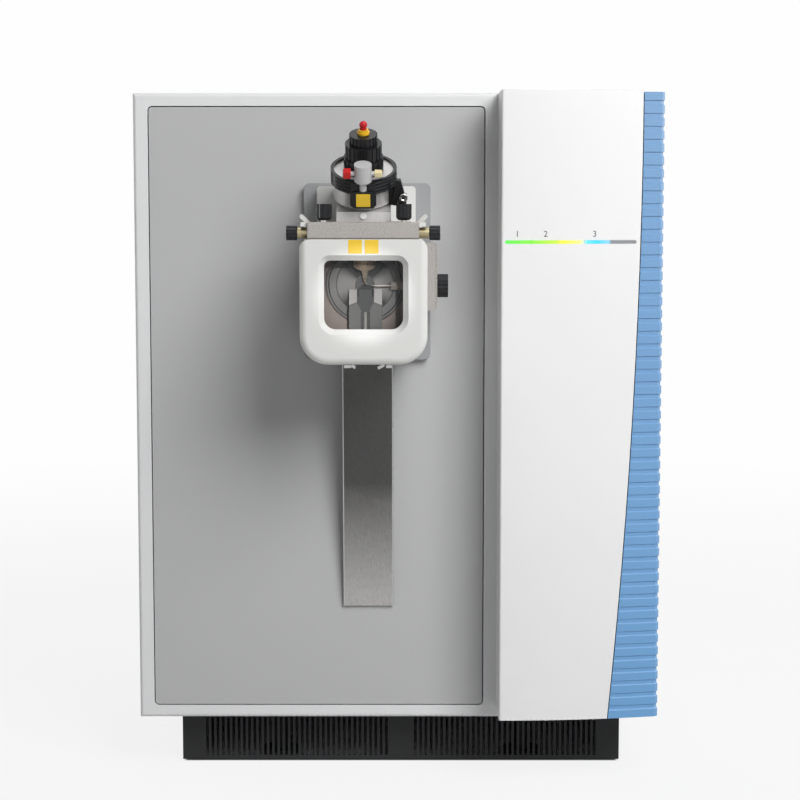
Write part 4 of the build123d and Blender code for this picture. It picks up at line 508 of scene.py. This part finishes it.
def port_aluminium():
    """Satin aluminium port, with the pale end of the pin that stands out of its face."""
    finish = satin("port_aluminium", (0.55, 0.54, 0.53), 0.36, 0.5, stretch=(1, 1, 0.1))
    out = finish.below(finish.axis("Y"), PORT_FACE_Y - 0.0002, 0.0002)
    low = finish.below(finish.axis("Z"), PIN_TOP_Z, 0.0001)
    return finish.tint(finish.product(out, low), (0.80, 0.80, 0.79))


def drain_steel():
    """Steel brushed lengthwise, with a painted highlight along its folded edges, a thin painted
    shadow line at their very edge and painted shade that darkens it under the source.
    """
    colour = (0.46, 0.455, 0.445)
    finish = metallic("drain_steel", colour, 0.34, 1500.0, stretch=(1, 1, 0.02))
    # Painted shade: the strip darkens upwards from near its foot, where it runs under the source.
    shade = finish.above(finish.axis("Z"), DRAIN_LOW[2] + DRAIN_UNSHADED, DRAIN_SHADE_FADE, 0.90)
    finish.tint(shade, darker(colour, 0.07))
    off = finish.away(finish.axis("X"), DRAIN_X)
    # Painted highlight: a pale band along each folded edge.
    finish.tint(finish.above(off, DRAIN_HALF - 0.0013, most=0.85), (0.50, 0.50, 0.49))
    # Painted shadow: a thin dark line at the very edge of each fold.
    finish.tint(finish.above(off, DRAIN_HALF - 0.0002, 0.0001, 0.9), (0.03, 0.03, 0.03))
    return finish.sets(Anisotropic=0.7, Metallic=0.45).gloss(0.3)


def probe_brass():
    """Brass nozzle below, black barrel inside the port, dark stem on top."""
    finish = satin("probe_brass", (0.74, 0.60, 0.44), 0.3, 0.45)
    return finish.tint(finish.above(finish.axis("Z"), BARREL_FOOT_Z, 0.005), (0.03, 0.03, 0.032))


def line_plastic():
    """Red fitting on the left of the union, cream on its right."""
    finish = moulded("line_plastic", (0.50, 0.012, 0.012), 0.28)
    right = finish.above(finish.axis("X"), PROBE_TIP.x - 0.0005, 0.001)
    return finish.tint(right, (0.72, 0.62, 0.36)).gloss(0.25)


def clear_pane():
    """Clear window pane with a faint smear in its gloss."""
    finish = Finish("clear_pane", (0.10, 0.11, 0.11), 0.04)
    finish.rough(finish.noise(30.0), 0.02, 0.07)
    return finish.sets(Alpha=0.07)


# ---------------------------------------------------------------- small pieces
def placed(name, data, place=(0, 0, 0), turn=(0, 0, 0)):
    """Links a new object to the scene."""
    obj = bpy.data.objects.new(name, data)
    obj.location = place
    obj.rotation_euler = turn
    bpy.context.collection.objects.link(obj)
    return obj


def meshed(name, mesh, finish):
    """A new object of a built mesh with its finish."""
    data = bpy.data.meshes.new(name)
    mesh.to_mesh(data)
    mesh.free()
    data.materials.append(finish.material)
    return placed(name, data)


def rounded_plate(width, height, thick, corner, steps=5):
    """A thin plate with round corners, its back on the XZ plane and its face towards -Y."""
    mesh = bmesh.new()
    rim = []
    for quarter in range(4):
        x = (width / 2 - corner) * (1 if quarter in (0, 3) else -1)
        z = (height / 2 - corner) * (1 if quarter in (0, 1) else -1)
        for step in range(steps + 1):
            angle = (quarter + step / steps) * math.pi / 2
            place = (x + corner * math.cos(angle), 0, z + corner * math.sin(angle))
            rim.append(mesh.verts.new(place))
    back = mesh.faces.new(rim)
    front = bmesh.ops.extrude_face_region(mesh, geom=[back])["geom"]
    moved = [item for item in front if isinstance(item, bmesh.types.BMVert)]
    bmesh.ops.translate(mesh, vec=(0, -thick, 0), verts=moved)
    bmesh.ops.recalc_face_normals(mesh, faces=mesh.faces)
    sharp = [edge for edge in mesh.edges if edge.calc_face_angle(0) > 1.0]
    bmesh.ops.bevel(mesh, geom=sharp, offset=thick * 0.3, segments=2, affect="EDGES")
    return mesh


def turned(rings, sides=32):
    """A closed turned form along local -Y from (radius, out) rings."""
    mesh = bmesh.new()
    turns = [math.tau * step / sides for step in range(sides)]
    loops = [
        [mesh.verts.new((radius * math.cos(turn), -out, radius * math.sin(turn))) for turn in turns]
        for radius, out in rings
    ]
    for one, other in zip(loops, loops[1:]):
        for step in range(sides):
            after = (step + 1) % sides
            mesh.faces.new((one[step], one[after], other[after], other[step]))
    mesh.faces.new(loops[0])
    mesh.faces.new(loops[-1])
    bmesh.ops.recalc_face_normals(mesh, faces=mesh.faces)
    return mesh


def probe_frame():
    """The probe's own frame: origin at the nozzle's tip, z along the barrel."""
    return Matrix.Translation(PROBE_TIP) @ Matrix.Rotation(PROBE_TILT, 4, "X")


def yellow_plates():
    """Blank yellow plates: two over the window and one on the union's bracket."""
    finish = moulded("plate_yellow", (0.80, 0.52, 0.02), 0.35)
    for name, side in (("cover_plate_left", -0.5), ("cover_plate_right", 0.5)):
        mesh = rounded_plate(PLATE_SIZE, PLATE_SIZE, PLATE_THICK, PLATE_CORNER)
        place = (COVER_MIDDLE + side * PLATE_SPACING, COVER_FRONT, PLATE_Z)
        mesh.transform(Matrix.Translation(place))
        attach(meshed(name, mesh, finish), "ion_source")
    mesh = rounded_plate(BRACKET_PLATE_SIZE, BRACKET_PLATE_SIZE, PLATE_THICK, PLATE_CORNER)
    mesh.transform(probe_frame() @ Matrix.Translation(BRACKET_PLATE_AT))
    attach(meshed("bracket_plate", mesh, finish), "ion_source")


def drain_clips():
    """Small steel clips over the drain channel's top edge."""
    finish = satin("clip_steel", (0.70, 0.70, 0.69), 0.3, 0.5)
    for number, (x, width, lean) in enumerate(DRAIN_CLIPS):
        mesh = rounded_plate(width, CLIP_HIGH, CLIP_THICK, CLIP_THICK)
        place = (DRAIN_LOW[0] + x, DRAIN_LOW[1] + CLIP_SUNK, DRAIN_HIGH[2] - CLIP_DROP)
        tilt = Matrix.Rotation(math.radians(lean), 4, "Y")
        mesh.transform(Matrix.Translation(place) @ tilt)
        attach(meshed(f"drain_clip_{number + 1}", mesh, finish), "cabinet")


def lever_spring():
    """Spring washers and cupped head that stand out of the clamp lever's face."""
    finish = metallic("spring_steel", (0.66, 0.65, 0.64), 0.22, 2500.0)
    stem_r, washer_r, neck_r = 0.0024, 0.0036, 0.0026
    first, pitch, thick = 0.0006, 0.0011, 0.0005
    rings = [(stem_r, -0.0004), (stem_r, first)]
    for washer in range(2):
        start = first + washer * pitch
        rings += [(washer_r, start), (washer_r, start + thick)]
        rings += [(neck_r, start + thick), (neck_r, start + pitch)]
    rings += [
        (0.0041, 0.0028),
        (0.0041, 0.0036),
        (0.0036, 0.0040),
        (0.0028, 0.0040),
        (0.0022, 0.0033),
        (0.0008, 0.0033),
    ]
    mesh = turned(rings)
    mesh.transform(probe_frame() @ Matrix.Translation(SPRING_AT))
    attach(meshed("lever_spring", mesh, finish), "lever")


def numerals():
    """Plain numbers over the status lights, along the bowed cover."""
    finish = moulded("print_grey", (0.10, 0.105, 0.11), 0.5)
    for text, x in NUMBERS:
        name = f"light_number_{text}"
        curve = bpy.data.curves.new(name, "FONT")
        curve.body = text
        curve.size = NUMBER_SIZE
        curve.extrude = NUMBER_HALF_THICK
        curve.align_x = "CENTER"
        curve.materials.append(finish.material)
        across = x - MODULE_LEFT
        set_back = FACE_BOW_R - math.sqrt(FACE_BOW_R**2 - across**2)
        place = (x, MODULE_FRONT + set_back - NUMBER_PROUD, LIGHT_HIGH[2] + NUMBER_GAP)
        obj = placed(name, curve, place, (math.pi / 2, 0, math.asin(across / FACE_BOW_R)))
        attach(obj, "cabinet")


# ---------------------------------------------------------------- floor, studio and camera
def under_plinth(finish):
    """One under the plinth, nought outside it."""
    low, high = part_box("plinth")
    sides = []
    for axis, name in enumerate("XY"):
        middle, half = (low[axis] + high[axis]) / 2, (high[axis] - low[axis]) / 2
        sides.append(finish.below(finish.away(finish.axis(name), middle), half, PLINTH_EDGE))
    return finish.product(*sides)


def floor():
    """Pale floor that keeps the object's soft shadow."""
    finish = Finish("floor_pale", (0.60, 0.60, 0.60), 0.9)
    finish.tint(finish.spread(finish.noise(2.0), 0.0, 1.0), (0.58, 0.58, 0.58))
    tree, shaded = finish.tree, finish.shader.outputs[0]
    glow = finish.add("ShaderNodeEmission")
    glow.inputs["Color"].default_value = BACKDROP
    reach = finish.vector("LENGTH", finish.coords(), "Value")
    share = finish.spread(reach, FLOOR_WHITE, 1.0, FLOOR_NEAR, FLOOR_FAR)
    open_floor = seen_white(tree, shaded, glow.outputs[0], share)
    surface = blended(tree, under_plinth(finish), open_floor, shaded)
    finish.link(surface, tree.nodes["Material Output"].inputs["Surface"])
    mesh = bmesh.new()
    bmesh.ops.create_grid(mesh, x_segments=2, y_segments=2, size=FLOOR_SIZE)
    meshed("floor", mesh, finish)


def lamp(name, kind, place, target, watts):
    """A lamp that points from its place at a target."""
    light = bpy.data.lights.new(name, kind)
    light.energy = watts
    aim = Vector(target) - Vector(place)
    placed(name, light, place, aim.to_track_quat("-Z", "Y").to_euler())
    return light


def area_light(name, place, target, size, watts):
    """A rectangular soft lamp."""
    light = lamp(name, "AREA", place, target, watts)
    light.shape = "RECTANGLE"
    light.size, light.size_y = size


def window_spot():
    """Narrow lamp beside the camera that lights the chamber through its window."""
    light = lamp(
        "window_spot", "SPOT", (0.12, -2.6, 0.72), (COVER_MIDDLE, COVER_FRONT, 0.503), watts=155
    )
    light.spot_size = math.radians(2.1)
    light.spot_blend = 0.3
    light.shadow_soft_size = 0.015


def studio():
    """White surround, a soft key from the right that shades the source's left, and fills."""
    area_light("key", (1.05, -2.0, 1.9), (-0.03, BEZEL_Y, 0.42), (1.35, 1.35), watts=65)
    area_light("front_fill", (-0.2, -2.8, 0.5), (0, 0, 0.30), (2.4, 1.6), watts=1.3)
    area_light("overhead", (0, 0.2, 2.6), (0, 0.1, 0.7), (2.0, 2.0), watts=9)
    for name, side in (("left_fill", -1), ("right_fill", 1)):
        place, target = (side * 2.6, 1.3, 1.1), (side * 0.25, 0.1, 0.35)
        area_light(name, place, target, (1.6, 1.6), watts=24)
    window_spot()
    area_light("rear_fill", (0.3, 3.0, 1.1), (0, 0.36, 0.35), (1.8, 1.6), watts=24)
    world = bpy.data.worlds.new("surround")
    world.use_nodes = True
    tree = world.node_tree
    surround = tree.nodes["Background"]
    surround.inputs["Color"].default_value = (0.98, 0.985, 1.0, 1)
    surround.inputs["Strength"].default_value = 0.03
    backdrop = tree.nodes.new("ShaderNodeBackground")
    backdrop.inputs["Color"].default_value = BACKDROP
    surface = seen_white(tree, surround.outputs[0], backdrop.outputs[0])
    tree.links.new(surface, tree.nodes["World Output"].inputs["Surface"])
    bpy.context.scene.world = world
    bpy.context.scene.view_settings.view_transform = "Standard"


def camera():
    """The photograph's viewpoint: pitched down a little, square to the front."""
    data = bpy.data.cameras.new("camera")
    data.sensor_width = SENSOR
    data.lens = FOCAL_PIXELS * SENSOR / IMAGE
    turn = (math.radians(90 - CAMERA_PITCH), 0, 0)
    bpy.context.scene.camera = placed("camera", data, CAMERA_AT, turn)


cabinet_finishes()
source_finishes()
mount_finishes()
inside_finishes()
yellow_plates()
drain_clips()
lever_spring()
numerals()
floor()
studio()
camera()

bpy.context.view_layer.update()
